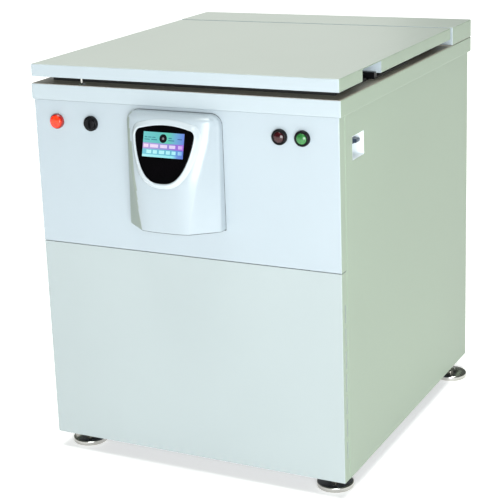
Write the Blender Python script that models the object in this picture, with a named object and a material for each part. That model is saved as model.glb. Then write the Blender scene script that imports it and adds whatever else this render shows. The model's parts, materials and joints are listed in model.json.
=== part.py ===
# Floor-standing laboratory centrifuge, modelled as an assembly of separate pieces.
# Units: the constants below are millimetres; objects are made in metres, +Z up.
# Lengths along Y are counted from the collar's front face towards the back, and
# YC moves that origin to the middle of the whole object's footprint.
import bpy
import bmesh
import math
from mathutils import Vector, Matrix

for _o in list(bpy.data.objects):
    bpy.data.objects.remove(_o, do_unlink=True)

MM = 0.001
GAP = 0.3                      # running gap between touching pieces

# ---- driving dimensions -------------------------------------------------
HALF_W = 341.5                 # collar and rear cover half width
LID_HALF = 339.0               # lid half width
DEPTH = 780.0                  # collar depth
FOOT_H = 36.0                  # underside of the cabinet above the floor
DECK_Z0, DECK_Z1 = 773.0, 806.0
LID_Z0, LID_Z1 = 820.0, 846.0
LID_Y1 = 640.0                 # rear edge of the lid
COVER_Y0 = 649.0               # front of the fixed rear cover
SIDE_X = 338.0                 # outer face of the side panels
FRONT_X = 337.2                # half width of the front panels
FRONT_Y = 2.0                  # face of the front panels
RETURN_Y = 26.0                # depth of the front panels' side returns
SEAM_Z = 471.0
SHEET = 2.0
REAR_Y = 766.0                 # face of the rear panel

POD_X = -8.5                   # centre line of the control housing
POD_HALF = 102.9
POD_Z0, POD_Z1 = 535.0, 766.0
PLANE_D, PLANE_Z, TILT = 47.0, 720.0, 0.26     # the window's flat plane: depth at a height, and its slope
POD_FULL = 66.0                # how far the housing's lower part stands out
SH_Z, SH_FOOT = 691.3, 54.4    # middle of the shield window, and its foot below that
FRAME_RISE, FRAME_IN = 2.2, 6.5

INLET_Y1 = 810.0               # back of the mains inlet box
POD_MOST = PLANE_D + TILT * (PLANE_Z - SH_Z + SH_FOOT + FRAME_IN) + FRAME_RISE
YC = (INLET_Y1 + FRONT_Y - GAP - POD_MOST) / 2.0

CH_X, CH_Y = 0.0, 320.0        # chamber axis
BOWL_R = 224.0
BOWL_Z0 = 520.0
HINGE_Y, HINGE_Z = 644.5, 841.0
PIVOT_R, PIVOT_Z = 99.0, 690.0   # bucket trunnions
BUCKET_R, BUCKET_H = 50.0, 88.0
FEET = ((-292.0, 58.0), (292.0, 58.0), (-322.0, 700.0), (322.0, 700.0))
FOOT_R = 38.0
BUTTON_Z = 730.0
RED_X, SEL_X, STOP_X, START_X = -283.0, -202.0, 216.0, 263.0
BEZEL_R = 15.5
NOTCH_Y0, NOTCH_Y1 = 115.0, 216.0
STRIKER_X, STRIKER_Y = -228.0, 16.0


def P(x, y, z):
    return Vector((x * MM, (y - YC) * MM, z * MM))


# ---- materials -----------------------------------------------------------
_mats = {}


def mat(name, rgb, rough=0.5, metal=0.0, emit=None):
    if name in _mats:
        return _mats[name]
    m = bpy.data.materials.new(name)
    m.use_nodes = True
    b = m.node_tree.nodes["Principled BSDF"]
    b.inputs["Base Color"].default_value = (rgb[0], rgb[1], rgb[2], 1.0)
    b.inputs["Roughness"].default_value = rough
    b.inputs["Metallic"].default_value = metal
    if emit:
        b.inputs["Emission Color"].default_value = (emit[0], emit[1], emit[2], 1.0)
        b.inputs["Emission Strength"].default_value = 0.6
    m.diffuse_color = (rgb[0], rgb[1], rgb[2], 1.0)
    _mats[name] = m
    return m


WHITE = ("cabinet_white", (0.80, 0.84, 0.83), 0.42, 0.0)
LIDW = ("lid_white", (0.80, 0.84, 0.83), 0.42, 0.0)
PODW = ("pod_white", (0.84, 0.87, 0.87), 0.35, 0.0)
BLACKP = ("black_plastic", (0.015, 0.015, 0.017), 0.35, 0.0)
GLOSSB = ("window_black", (0.006, 0.006, 0.008), 0.08, 0.0)
RUBBER = ("seal_rubber", (0.02, 0.02, 0.02), 0.75, 0.0)
STEEL = ("bright_steel", (0.62, 0.62, 0.60), 0.28, 1.0)
STAIN = ("stainless", (0.66, 0.67, 0.68), 0.33, 1.0)
ALU = ("rotor_alloy", (0.55, 0.56, 0.58), 0.35, 1.0)
CASTM = ("machine_paint", (0.10, 0.12, 0.15), 0.5, 0.0)
ZINC = ("zinc_plate", (0.52, 0.54, 0.55), 0.42, 1.0)
COPPER = ("coil_copper", (0.72, 0.36, 0.22), 0.35, 1.0)
FOAM = ("foam_insulation", (0.06, 0.06, 0.065), 0.9, 0.0)
LCD = ("lcd_screen", (0.2, 0.65, 0.75), 0.15, 0.0, (0.2, 0.65, 0.75))
RED = ("red_lens", (0.85, 0.06, 0.02), 0.25, 0.0)
DRED = ("dark_red_lens", (0.16, 0.01, 0.015), 0.2, 0.0)
GREEN = ("green_lens", (0.06, 0.36, 0.10), 0.2, 0.0)
BLUE = ("breaker_blue", (0.02, 0.06, 0.14), 0.35, 0.0)
BREAKW = ("breaker_white", (0.82, 0.84, 0.84), 0.45, 0.0)
PCB = ("board_green", (0.02, 0.18, 0.08), 0.45, 0.0)


# ---- helpers ---------------------------------------------------------------
def add(name, bm, material, smooth=None, origin=None):
    bmesh.ops.recalc_face_normals(bm, faces=bm.faces)
    me = bpy.data.meshes.new(name)
    bm.to_mesh(me)
    bm.free()
    ob = bpy.data.objects.new(name, me)
    bpy.context.scene.collection.objects.link(ob)
    me.materials.append(mat(*material))
    if origin is not None:
        me.transform(Matrix.Translation(-origin))
        ob.location = origin
    if smooth is not None:
        me.shade_smooth()
        me.set_sharp_from_angle(angle=math.radians(smooth))
    return ob


def v(bm, x, y, z):
    return bm.verts.new(P(x, y, z))


def bm_box(bm, x0, x1, y0, y1, z0, z1):
    vs = [v(bm, x, y, z) for z in (z0, z1) for y in (y0, y1) for x in (x0, x1)]
    for f in ((0, 2, 3, 1), (4, 5, 7, 6), (0, 1, 5, 4), (2, 6, 7, 3), (0, 4, 6, 2), (1, 3, 7, 5)):
        bm.faces.new([vs[i] for i in f])
    return vs


def box(name, material, x0, x1, y0, y1, z0, z1, bevel=0.0, seg=1, origin=None):
    bm = bmesh.new()
    bm_box(bm, x0, x1, y0, y1, z0, z1)
    if bevel:
        bmesh.ops.bevel(bm, geom=list(bm.edges), offset=bevel * MM, segments=seg, affect='EDGES', profile=0.5)
    return add(name, bm, material, origin=origin)


def bm_prism(bm, pts, axis, a, b):
    """Extrude a closed outline along an axis. pts are pairs in the other two axes, in x,y,z order."""
    def pt(p, t):
        if axis == 'x':
            return v(bm, t, p[0], p[1])
        if axis == 'y':
            return v(bm, p[0], t, p[1])
        return v(bm, p[0], p[1], t)
    lo = [pt(p, a) for p in pts]
    hi = [pt(p, b) for p in pts]
    n = len(pts)
    bm.faces.new(lo)
    bm.faces.new(list(reversed(hi)))
    for i in range(n):
        bm.faces.new([lo[i], hi[i], hi[(i + 1) % n], lo[(i + 1) % n]])


def prism(name, material, pts, axis, a, b, smooth=None, origin=None):
    bm = bmesh.new()
    bm_prism(bm, pts, axis, a, b)
    return add(name, bm, material, smooth, origin)


def bm_turn(bm, prof, c, axis='z', seg=24, closed=False):
    """Turn a profile of (radius, height) pairs about an axis through c.
    An open profile starts and ends on the axis; a closed one is a ring."""
    cx, cy, cz = c

    def place(r, a, h):
        if axis == 'z':
            return v(bm, cx + r * math.cos(a), cy + r * math.sin(a), cz + h)
        if axis == 'y':
            return v(bm, cx + r * math.cos(a), cy + h, cz + r * math.sin(a))
        return v(bm, cx + h, cy + r * math.cos(a), cz + r * math.sin(a))
    rings = []
    for r, h in prof:
        if r < 1e-6:
            rings.append([place(0, 0, h)])
        else:
            rings.append([place(r, 2 * math.pi * i / seg, h) for i in range(seg)])
    n = len(prof)
    last = n if closed else n - 1
    for k in range(last):
        A, B = rings[k], rings[(k + 1) % n]
        for i in range(seg):
            j = (i + 1) % seg
            if len(A) == 1 and len(B) == 1:
                continue
            if len(A) == 1:
                bm.faces.new([A[0], B[i], B[j]])
            elif len(B) == 1:
                bm.faces.new([A[i], B[0], A[j]])
            else:
                bm.faces.new([A[i], B[i], B[j], A[j]])


def turn(name, material, prof, c, axis='z', seg=24, closed=False, smooth=35, origin=None):
    bm = bmesh.new()
    bm_turn(bm, prof, c, axis, seg, closed)
    return add(name, bm, material, smooth, origin)


def bm_cyl(bm, r, c, axis, h0, h1, seg=16):
    bm_turn(bm, [(0, h0), (r, h0), (r, h1), (0, h1)], c, axis, seg)


def cutter(bm):
    ob = add("cut", bm, ("cut", (1, 0, 0)))
    ob.hide_render = True
    ob.display_type = 'WIRE'
    return ob


def boolean(ob, bm, op='DIFFERENCE'):
    """Apply one exact boolean with the solid in bm."""
    c = cutter(bm)
    m = ob.modifiers.new("b", 'BOOLEAN')
    m.operation = op
    m.solver = 'EXACT'
    m.object = c
    bpy.context.view_layer.update()
    dg = bpy.context.evaluated_depsgraph_get()
    me = bpy.data.meshes.new_from_object(ob.evaluated_get(dg))
    ob.modifiers.clear()
    old = ob.data
    ob.data = me
    me.name = ob.name
    bpy.data.meshes.remove(old)
    bpy.data.objects.remove(c, do_unlink=True)
    return ob


def arc(cx, cy, r, a0, a1, n):
    return [(cx + r * math.cos(math.radians(a0 + (a1 - a0) * i / n)),
             cy + r * math.sin(math.radians(a0 + (a1 - a0) * i / n))) for i in range(n + 1)]


def hexagon(bm, af, c, h0, h1):
    r = af / 2 / math.cos(math.pi / 6)
    pts = [(c[0] + r * math.cos(math.pi / 3 * i), c[1] + r * math.sin(math.pi / 3 * i)) for i in range(6)]
    bm_prism(bm, pts, 'z', h0, h1)


# ---- base and feet ---------------------------------------------------------
bm = bmesh.new()
bm_box(bm, -326, 326, 30, 760, FOOT_H + 1, FOOT_H + 11)
base = add("base_plate", bm, CASTM)
for sx in (-1, 1):
    # ears that carry the rear feet just outside the plate's own edge
    bm = bmesh.new()
    bm_box(bm, sx * 320 if sx > 0 else -335.5, 335.5 if sx > 0 else -320, 684, 716, FOOT_H + 1, FOOT_H + 11)
    boolean(base, bm, 'UNION')

FOOT_NAMES = ("foot_front_left", "foot_front_right", "foot_rear_left", "foot_rear_right")
for fname, (fx, fy) in zip(FOOT_NAMES, FEET):
    ft = turn(fname, STEEL, [(0, 0), (FOOT_R, 0), (FOOT_R, 9), (FOOT_R - 3, 12), (12, 16),
                             (6, 21), (6, FOOT_H + 1 - GAP), (0, FOOT_H + 1 - GAP)], (fx, fy, 0), 'z', 20)
    bm = bmesh.new()
    hexagon(bm, 19.0, (fx, fy), FOOT_H + 1 - GAP - 9.0, FOOT_H + 1 - GAP - 0.5)
    boolean(ft, bm, 'UNION')

# ---- cabinet panels ----------------------------------------------------------
BRK_Y0, BRK_Y1, BRK_Z0, BRK_Z1 = 61.0, 122.0, 678.0, 726.0


def side_panel(name, s):
    xo, xi = s * SIDE_X, s * (SIDE_X - SHEET)
    xr = s * (SIDE_X - 16)
    y0, y1 = RETURN_Y + 0.4, REAR_Y + 2
    # C-shaped section: outer sheet with a return at the front and at the back
    pts = [(xo, y0), (xo, y1), (xr, y1), (xr, y1 - SHEET), (xi, y1 - SHEET), (xi, y0 + SHEET), (xr, y0 + SHEET), (xr, y0)]
    ob = prism(name, WHITE, pts, 'z', FOOT_H, DECK_Z0 - GAP)
    return ob


side_l = side_panel("side_panel_left", -1)
side_r = side_panel("side_panel_right", 1)
bm = bmesh.new()
bm_box(bm, SIDE_X - 6, SIDE_X + 6, BRK_Y0 - 0.0, BRK_Y1, BRK_Z0, BRK_Z1)
boolean(side_r, bm)

# upper front panel: shallow tray with side returns
def tray_front(name, z0, z1):
    yo, yi = FRONT_Y, FRONT_Y + SHEET
    pts = [(-FRONT_X, yo), (FRONT_X, yo), (FRONT_X, RETURN_Y), (FRONT_X - SHEET, RETURN_Y), (FRONT_X - SHEET, yi),
           (-FRONT_X + SHEET, yi), (-FRONT_X + SHEET, RETURN_Y), (-FRONT_X, RETURN_Y)]
    return prism(name, WHITE, pts, 'z', z0, z1)


up = tray_front("upper_front_panel", SEAM_Z + 1.2, DECK_Z0 - GAP)
bm = bmesh.new()
for bx in (RED_X, SEL_X, STOP_X, START_X):
    bm_cyl(bm, 11.5, (bx, 0, BUTTON_Z), 'y', FRONT_Y - 3, FRONT_Y + SHEET + 3, 20)
bm_box(bm, POD_X - 70, POD_X + 70, FRONT_Y - 3, FRONT_Y + SHEET + 3, 600, 740)
boolean(up, bm)

low = tray_front("lower_front_panel", FOOT_H, SEAM_Z - 1.2)
bm = bmesh.new()
for s in (-1, 1):
    for zc in [386.0 - 47.3 * i for i in range(7)]:
        sl = [(s * (FRONT_X - 5), 0), (s * (FRONT_X + 3), 0)]
        x0, x1 = sorted((s * (FRONT_X - 5), s * (FRONT_X + 3)))
        bm_box(bm, x0, x1, 15.6, 19.2, zc - 18.75, zc + 18.75)
boolean(low, bm)

# rear panel with air slots
rear = box("rear_panel", WHITE, -320.5, 320.5, REAR_Y - SHEET - 0.6, REAR_Y - 0.6, FOOT_H + 12, DECK_Z0 - GAP)
bm = bmesh.new()
for i in range(7):
    zc = 130 + i * 32
    bm_box(bm, -250, -30, REAR_Y - 10, REAR_Y + 6, zc - 4, zc + 4)
for i in range(5):
    zc = 570 + i * 28
    bm_box(bm, -200, 60, REAR_Y - 10, REAR_Y + 6, zc - 4, zc + 4)
boolean(rear, bm)

# collar: hollow deck with a turned-down skirt and a round chamber mouth
deck = box("top_deck", WHITE, -HALF_W, HALF_W, 0, DEPTH, DECK_Z0, DECK_Z1)
bm = bmesh.new()
bm_box(bm, -HALF_W + SHEET, HALF_W - SHEET, SHEET - 0.3, DEPTH - SHEET, DECK_Z0 - 5, DECK_Z1 - 3)
boolean(deck, bm)
bm = bmesh.new()
bm_cyl(bm, BOWL_R + 2, (CH_X, CH_Y, 0), 'z', DECK_Z0, DECK_Z1 + 5, 32)
bm_cyl(bm, 7.5, (STRIKER_X, STRIKER_Y, 0), 'z', DECK_Z0, DECK_Z1 + 5, 12)
boolean(deck, bm)

# rear cover over the hinge line: open box
cov = box("rear_cover", WHITE, -HALF_W, HALF_W, COVER_Y0, DEPTH, DECK_Z1 + GAP, LID_Z1)
bm = bmesh.new()
bm_box(bm, -HALF_W + SHEET, HALF_W - SHEET, COVER_Y0 + SHEET, DEPTH - SHEET, DECK_Z1 - 5, LID_Z1 - SHEET)
boolean(cov, bm)

# ---- rotor chamber -----------------------------------------------------------
c0 = (CH_X, CH_Y, 0)
BT = DECK_Z1 - 3 - GAP        # top of the bowl's rim, under the deck sheet
turn("chamber_bowl", STAIN,
     [(42, BOWL_Z0), (BOWL_R - 14, BOWL_Z0), (BOWL_R, BOWL_Z0 + 14), (BOWL_R, BT),
      (BOWL_R + 22, BT), (BOWL_R + 22, BT - 2), (BOWL_R + 2, BT - 2), (BOWL_R + 2, BOWL_Z0 + 13),
      (BOWL_R - 13, BOWL_Z0 - 2), (42, BOWL_Z0 - 2)], c0, 'z', 32, True, 50)
turn("chamber_seal", RUBBER,
     [(BOWL_R + 5, DECK_Z1 + GAP), (BOWL_R + 17, DECK_Z1 + GAP), (BOWL_R + 13, LID_Z0 - 7.5),
      (BOWL_R + 9, LID_Z0 - 7.5)], c0, 'z', 32, True, 30)

# evaporator: helical tube around the bowl
cu = bpy.data.curves.new("evaporator_coil", 'CURVE')
cu.dimensions = '3D'
cu.bevel_depth = 4.5 * MM
cu.bevel_resolution = 0
cu.use_fill_caps = True
sp = cu.splines.new('POLY')
TURNS, PER = 5, 18
N = TURNS * PER + 1
sp.points.add(N - 1)
for i in range(N):
    a = 2 * math.pi * i / PER
    p = P(CH_X + (BOWL_R + 12.0) * math.cos(a), CH_Y + (BOWL_R + 12.0) * math.sin(a), 570 + 32.0 * i / PER)
    sp.points[i].co = (p.x, p.y, p.z, 1)
co = bpy.data.objects.new("evaporator_coil", cu)
bpy.context.scene.collection.objects.link(co)
cu.materials.append(mat(*COPPER))

turn("chamber_insulation", FOAM,
     [(BOWL_R + 23, BOWL_Z0 - 1), (BOWL_R + 44, BOWL_Z0 - 1), (BOWL_R + 44, BT - 3), (BOWL_R + 23, BT - 3)], c0, 'z', 28, True)
turn("armour_ring", CASTM,
     [(BOWL_R + 47.0, BOWL_Z0 - 20), (BOWL_R + 55.0, BOWL_Z0 - 20), (BOWL_R + 55.0, BT - 3), (BOWL_R + 47.0, BT - 3)], c0, 'z', 28, True)
turn("spindle_boot", RUBBER,
     [(18, BOWL_Z0 - 30), (24, BOWL_Z0 - 30), (27, BOWL_Z0 - 12), (41, BOWL_Z0 - 4), (41, BOWL_Z0 + 4),
      (30, BOWL_Z0 + 4), (18, BOWL_Z0 - 14)], c0, 'z', 18, True)

# ---- drive -----------------------------------------------------------------
BZ = FOOT_H + 11
turn("motor_damper", RUBBER,
     [(72, BZ + GAP), (124, BZ + GAP), (113, BZ + 30), (118, BZ + 60), (80, BZ + 60), (82, BZ + 30)],
     c0, 'z', 20, True)
box("motor_plate", ZINC, CH_X - 130, CH_X + 130, CH_Y - 130, CH_Y + 130, BZ + 60 + GAP, BZ + 72 + GAP, 2)
MZ = BZ + 72 + 2 * GAP
turn("drive_motor", CASTM,
     [(0, MZ), (88, MZ), (96, MZ + 20), (96, MZ + 250), (86, MZ + 270), (44, MZ + 290),
      (44, MZ + 318), (0, MZ + 318)], c0, 'z', 20)
SP0 = MZ + 318 + GAP

# ---- refrigeration and air ----------------------------------------------------
turn("compressor", CASTM,
     [(0, BZ + GAP), (72, BZ + GAP), (82, BZ + 14), (82, BZ + 110), (86, BZ + 114), (86, BZ + 120), (80, BZ + 124),
      (76, BZ + 188), (52, BZ + 216), (0, BZ + 224)], (-215, 600, 0), 'z', 20)
FANX, FANZ = -140.0, 224.0
bm = bmesh.new()
bm_box(bm, -262, -20, 714, 720, BZ + GAP, 352)
sh = add("fan_shroud", bm, ZINC)
bm = bmesh.new()
bm_cyl(bm, 100, (FANX, 0, FANZ), 'y', 700, 740, 20)
boolean(sh, bm)
bm = bmesh.new()
# finned block: a comb outline in plan, extruded upwards
pts = []
x = 60.0
while x < 300 - 1:
    pts += [(x, 560), (x + 10, 560), (x + 10, 592), (x + 20, 592)]
    x += 20.0
pts += [(300, 592), (300, 604), (60, 604)]
clean = []
for p in pts:
    if not clean or (abs(clean[-1][0] - p[0]) > 1e-6 or abs(clean[-1][1] - p[1]) > 1e-6):
        clean.append(p)
bm_prism(bm, clean, 'z', BZ + GAP, 330)
add("condenser", bm, ALU)

# fan on its own axis
FO = P(FANX, 717, FANZ)
fan = turn("condenser_fan", BLACKP, [(0, -14), (26, -14), (30, -10), (30, 12), (0, 12)], (FANX, 717, FANZ), 'y', 20)
for k in range(5):
    bm = bmesh.new()
    a = 2 * math.pi * k / 5
    ca, sa = math.cos(a), math.sin(a)
    vs = []
    for (r, w) in ((24, 21), (94, 21)):
        for side, yy in ((-1, -9), (1, 9)):
            for t in (-1.2, 1.2):
                lx, lz = r, side * w
                vs.append(v(bm, FANX + lx * ca - lz * sa, 717 + yy + t, FANZ + lx * sa + lz * ca))
    for f in ((0, 1, 3, 2), (4, 6, 7, 5), (0, 4, 5, 1), (2, 3, 7, 6), (0, 2, 6, 4), (1, 5, 7, 3)):
        bm.faces.new([vs[i] for i in f])
    boolean(fan, bm, 'UNION')
fan.data.transform(Matrix.Translation(-FO))
fan.location = FO

box("inverter_box", ZINC, -250, 60, 636, 745, 520, 730, 3)

# mains inlet box on the rear panel
inl = prism("power_inlet_box", WHITE,
            [(REAR_Y - 0.3, 336), (INLET_Y1, 350), (INLET_Y1, 418), (REAR_Y - 0.3, 418)], 'x', 250, 316)
bm = bmesh.new()
bm_box(bm, 268, 298, INLET_Y1 - 12, INLET_Y1 + 5, 372, 400)
boolean(inl, bm)

# ---- control housing ---------------------------------------------------------
def plane_depth(z):
    return PLANE_D + TILT * (PLANE_Z - z)


def pod_depth(z):
    """How far the housing's centre line stands out of the panel at height z."""
    za, zb = 662.0, 625.0
    if z > 750.0:
        u = (z - 750.0) / (POD_Z1 - 750.0)
        return 18.0 + (plane_depth(750.0) - 18.0) * math.sqrt(max(0.0, 1.0 - u * u))
    if z >= za:
        return plane_depth(z)
    if z >= zb:                                  # the face rolls off the window's plane
        q = (za - z) / (za - zb)
        return ((2 * q ** 3 - 3 * q * q + 1) * plane_depth(za) + (q ** 3 - 2 * q * q + q) * (za - zb) * TILT
                + (-2 * q ** 3 + 3 * q * q) * POD_FULL)
    return POD_FULL - 0.5 * (zb - z) / (zb - POD_Z0)


def pod_half(z):
    """Half width of the housing at height z: straight sides with rounded upper corners."""
    r = 23.0
    if z > POD_Z1 - r:
        u = z - (POD_Z1 - r)
        return POD_HALF - r + math.sqrt(max(0.0, r * r - u * u))
    return POD_HALF


def pod_params(z):
    D, W = pod_depth(z), pod_half(z)
    t = min(1.0, max(0.0, (720.0 - z) / 185.0))
    xi = min(90.0 - 38.0 * t, W - 8.0)           # where the chamfer meets the crowned face
    di = (0.70 + 0.22 * t) * D
    wd = min(13.0 + 5.5 * t, di - 6.0)           # depth of the side wall
    return D, W, xi, di, wd, 4.0 - 0.7 * t


def pod_surface(dx, z):
    D, W, xi, di, wd, p = pod_params(z)
    u = abs(dx)
    if u <= xi:
        return di + (D - di) * (1.0 - (u / xi) ** p)
    return di + (wd + 3.0 - di) * (u - xi) / (W - 3.0 - xi)


def pod_row(z):
    """One section of the housing as (x offset, depth) pairs from left to right."""
    D, W, xi, di, wd, p = pod_params(z)
    side = [(W, 0.0), (W, wd - 3.0), (W - 0.8, wd), (W - 3.0, wd + 3.0), (xi, di)]
    side += [(xi * u, di + (D - di) * (1.0 - u ** p)) for u in (0.9, 0.75, 0.5, 0.25)]
    return [(-x, d) for x, d in side] + [(0.0, D)] + [(x, d) for x, d in reversed(side)]


def bm_rows(bm, rows):
    n = len(rows[0])
    for a, b_ in zip(rows[:-1], rows[1:]):
        for i in range(n):
            j = (i + 1) % n
            bm.faces.new([a[i], a[j], b_[j], b_[i]])
    bm.faces.new(rows[0])
    bm.faces.new(list(reversed(rows[-1])))
    bmesh.ops.triangulate(bm, faces=list(bm.faces))


bm = bmesh.new()
bm_rows(bm, [[v(bm, POD_X + x, FRONT_Y - GAP - d, z) for x, d in pod_row(z)]
             for z in (POD_Z0, 565, 595, 615, 625, 635, 645, 654, 662, 690, 720, 743, 750, 756, 760, 763.5, 765.3, POD_Z1)])
pod = add("pod_housing", bm, PODW, 30)
# hollow it from the back, leaving a wall and the face
bm = bmesh.new()
rows = []
for z in (POD_Z0 + 4, 600, 665, 700, 740):
    D, W, xi, di, wd, p = pod_params(z)
    sec = [(-W + 5, -4.0), (-W + 5, wd - 4), (-xi + 4, di - 8), (xi - 4, di - 8), (W - 5, wd - 4), (W - 5, -4.0)]
    rows.append([v(bm, POD_X + x, FRONT_Y - GAP - d, z) for x, d in sec])
bm_rows(bm, rows)
boolean(pod, bm)

# shield-shaped window: half outline (dx from the centre line, dz from its middle)
def shield(off=0.0):
    """Shield outline, moved outwards by off: domed top, round shoulders, sides closing to a rounded foot."""
    half, shoulder, top = 64.2, 34.7, 54.4
    drop = shoulder + SH_FOOT
    right = []
    for i in range(9, -1, -1):                       # foot up to the shoulder
        t = math.pi / 2 * i / 9
        right.append((half * math.cos(t), shoulder - drop * (1.0 - max(0.0, math.cos(t)) ** 2.74) ** (1 / 1.4)))
    for i in range(1, 4):                            # shoulder corner
        t = math.pi / 2 * i / 4
        right.append((54.2 + 10.0 * math.cos(t), 34.9 + 11.9 * math.sin(t)))
    for x in (50.0, 34.0, 17.0):                     # domed top
        right.append((x, top - 0.0026 * x * x))
    pts = right + [(0.0, top)] + [(-x, z) for x, z in reversed(right[1:])]
    m = len(pts)
    out = []
    for i, (x, z) in enumerate(pts):
        px, pz = pts[i - 1]
        nx, nz = pts[(i + 1) % m]
        tx, tz = nx - px, nz - pz
        L = math.hypot(tx, tz)
        out.append((x + tz / L * off, z - tx / L * off))
    return out


def face_y(z, lift=0.0):
    """Y of the window's plane at height z, moved out by lift."""
    return FRONT_Y - GAP - plane_depth(z) - lift


def tilted_slab(bm, outline, l0, l1, zc=SH_Z):
    """Slab parallel to the housing's face, between two lifts above it."""
    lo = [v(bm, POD_X + x, face_y(zc + z, l0), zc + z) for x, z in outline]
    hi = [v(bm, POD_X + x, face_y(zc + z, l1), zc + z) for x, z in outline]
    m = len(outline)
    bm.faces.new(lo)
    bm.faces.new(list(reversed(hi)))
    for i in range(m):
        bm.faces.new([lo[i], hi[i], hi[(i + 1) % m], lo[(i + 1) % m]])


bm = bmesh.new()
tilted_slab(bm, shield(0.3), -30, 12)
boolean(pod, bm)
bm = bmesh.new()
tilted_slab(bm, shield(10.0), -8.6, 14)       # seat for the window's frame
boolean(pod, bm)

# frame around the window
bm = bmesh.new()
o_lo = shield(9.6)
o_hi = shield(FRAME_IN)
i_hi = shield(0.8)
i_lo = shield(0.8)
loops = []
for k, (outline, lift) in enumerate(((o_lo, -8.3), (o_lo, 0.4), (o_hi, FRAME_RISE), (i_hi, FRAME_RISE), (i_lo, -8.3))):
    loop = []
    for x, z in outline:
        rise = lift
        if k == 1:                                # the outer edge follows the housing's own face
            rise = max(-7.6, min(0.4, pod_surface(x, SH_Z + z) - plane_depth(SH_Z + z) + 0.4))
        loop.append(v(bm, POD_X + x, face_y(SH_Z + z, rise), SH_Z + z))
    loops.append(loop)
m = len(loops[0])
for k in range(5):
    A, B = loops[k], loops[(k + 1) % 5]
    for i in range(m):
        j = (i + 1) % m
        bm.faces.new([A[i], B[i], B[j], A[j]])
bmesh.ops.triangulate(bm, faces=list(bm.faces))
add("window_frame", bm, PODW, 30)
bm = bmesh.new()
tilted_slab(bm, shield(0.3 - GAP), -2.0, 1.0)
add("shield_window", bm, GLOSSB)
bm = bmesh.new()
LCD_DX, LCD_DZ = -0.5, 18.1
tilted_slab(bm, [(-45 + LCD_DX, -23.5 + LCD_DZ), (45 + LCD_DX, -23.5 + LCD_DZ), (45 + LCD_DX, 23.5 + LCD_DZ), (-45 + LCD_DX, 23.5 + LCD_DZ)],
            1.0 + GAP, 1.9)
add("lcd_screen", bm, LCD)

# ---- buttons -------------------------------------------------------------------
for bname, bx in (("red_bezel", RED_X), ("selector_bezel", SEL_X), ("stop_bezel", STOP_X), ("start_bezel", START_X)):
    turn(bname, BLACKP, [(BEZEL_R, -GAP), (BEZEL_R, -6.0), (BEZEL_R - 1.5, -8.0), (12.2, -8.0), (12.2, -1.5), (9.5, -1.5),
                         (9.5, 22), (11.2, 22), (11.2, -GAP)], (bx, FRONT_Y, BUTTON_Z), 'y', 16, True, 35)


def button(name, material, bx, prof):
    o = P(bx, FRONT_Y, BUTTON_Z)
    bm = bmesh.new()
    bm_turn(bm, prof, (bx, FRONT_Y, BUTTON_Z), 'y', 16)
    return add(name, bm, material, 30, o)


LENS = [(0, 20), (8, 20), (8, -5.4), (11.6, -5.4), (11.6, -9.5), (9.0, -11.4), (0, -12.2)]
button("red_button", RED, RED_X, LENS)
button("stop_button", DRED, STOP_X, LENS)
button("start_button", GREEN, START_X, LENS)
sel = button("power_selector", BLACKP, SEL_X, [(0, 20), (8, 20), (8, -1.9), (11.6, -1.9), (11.6, -9.5), (10.4, -11.0), (0, -11.6)])
bm = bmesh.new()
so = P(SEL_X, FRONT_Y, BUTTON_Z)
for x0, x1, y0, y1, z0, z1 in ((-2.6, 2.6, -17.5, -9, -9.6, 9.6),):
    for zz in (z0, z1):
        for yy in (y0, y1):
            for xx in (x0, x1):
                bm.verts.new(Vector((xx * (0.8 if yy == y0 else 1.0) * MM, yy * MM, zz * MM)))
bm.verts.ensure_lookup_table()
for f in ((0, 2, 3, 1), (4, 5, 7, 6), (0, 1, 5, 4), (2, 6, 7, 3), (0, 4, 6, 2), (1, 3, 7, 5)):
    bm.faces.new([bm.verts[i] for i in f])
bmesh.ops.transform(bm, matrix=Matrix.Translation(so), verts=bm.verts)
boolean(sel, bm, 'UNION')

# ---- recessed breaker on the right side ------------------------------------------
g = 0.4
bx1 = SIDE_X - 0.4
pk = box("breaker_pocket", BREAKW, SIDE_X - 34, bx1, BRK_Y0 + g, BRK_Y1 - g, BRK_Z0 + g, BRK_Z1 - g)
bm = bmesh.new()
bm_box(bm, SIDE_X - 32, bx1 + 5, BRK_Y0 + g + 1.5, BRK_Y1 - g - 1.5, BRK_Z0 + g + 1.5, BRK_Z1 - g - 1.5)
boolean(pk, bm)
BRX = SIDE_X - 32 + GAP
box("breaker_body", BREAKW, BRX, BRX + 8.2, BRK_Y0 + 5, BRK_Y1 - 3, BRK_Z0 + 3, BRK_Z1 - 3, 1)
TPX, TPZ = BRX + 8.2 + 0.3 + 6.0, 707.5
to = P(TPX, 108, TPZ)
bm = bmesh.new()
bm_cyl(bm, 6.0, (TPX, 0, TPZ), 'y', 99, 117, 16)
tg = add("breaker_toggle", bm, BLUE, 35)
bm = bmesh.new()
bm_prism(bm, [(TPX, TPZ - 1.5), (TPX + 12.5, TPZ - 1.5), (TPX + 15.5, TPZ + 1.0), (TPX + 15.5, TPZ + 4.0), (TPX + 13.0, TPZ + 6.5), (TPX, TPZ + 6.5)], 'y', 99.5, 116.5)
boolean(tg, bm, 'UNION')
tg.data.transform(Matrix.Translation(-to))
tg.location = to

# ---- lid ------------------------------------------------------------------------
HO = P(0, HINGE_Y, HINGE_Z)
lid_empty = bpy.data.objects.new("lid_pivot", None)
bpy.context.scene.collection.objects.link(lid_empty)
lid_empty.location = HO


def on_lid(ob):
    ob.parent = lid_empty
    ob.matrix_parent_inverse = Matrix.Translation(-HO)
    return ob


lid = box("lid_shell", LIDW, -LID_HALF, LID_HALF, 0, LID_Y1, LID_Z0, LID_Z1)
bm = bmesh.new()
bm_box(bm, -LID_HALF + SHEET, LID_HALF - SHEET, SHEET, LID_Y1 - SHEET, LID_Z0 - 5, LID_Z1 - SHEET)
boolean(lid, bm)
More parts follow.
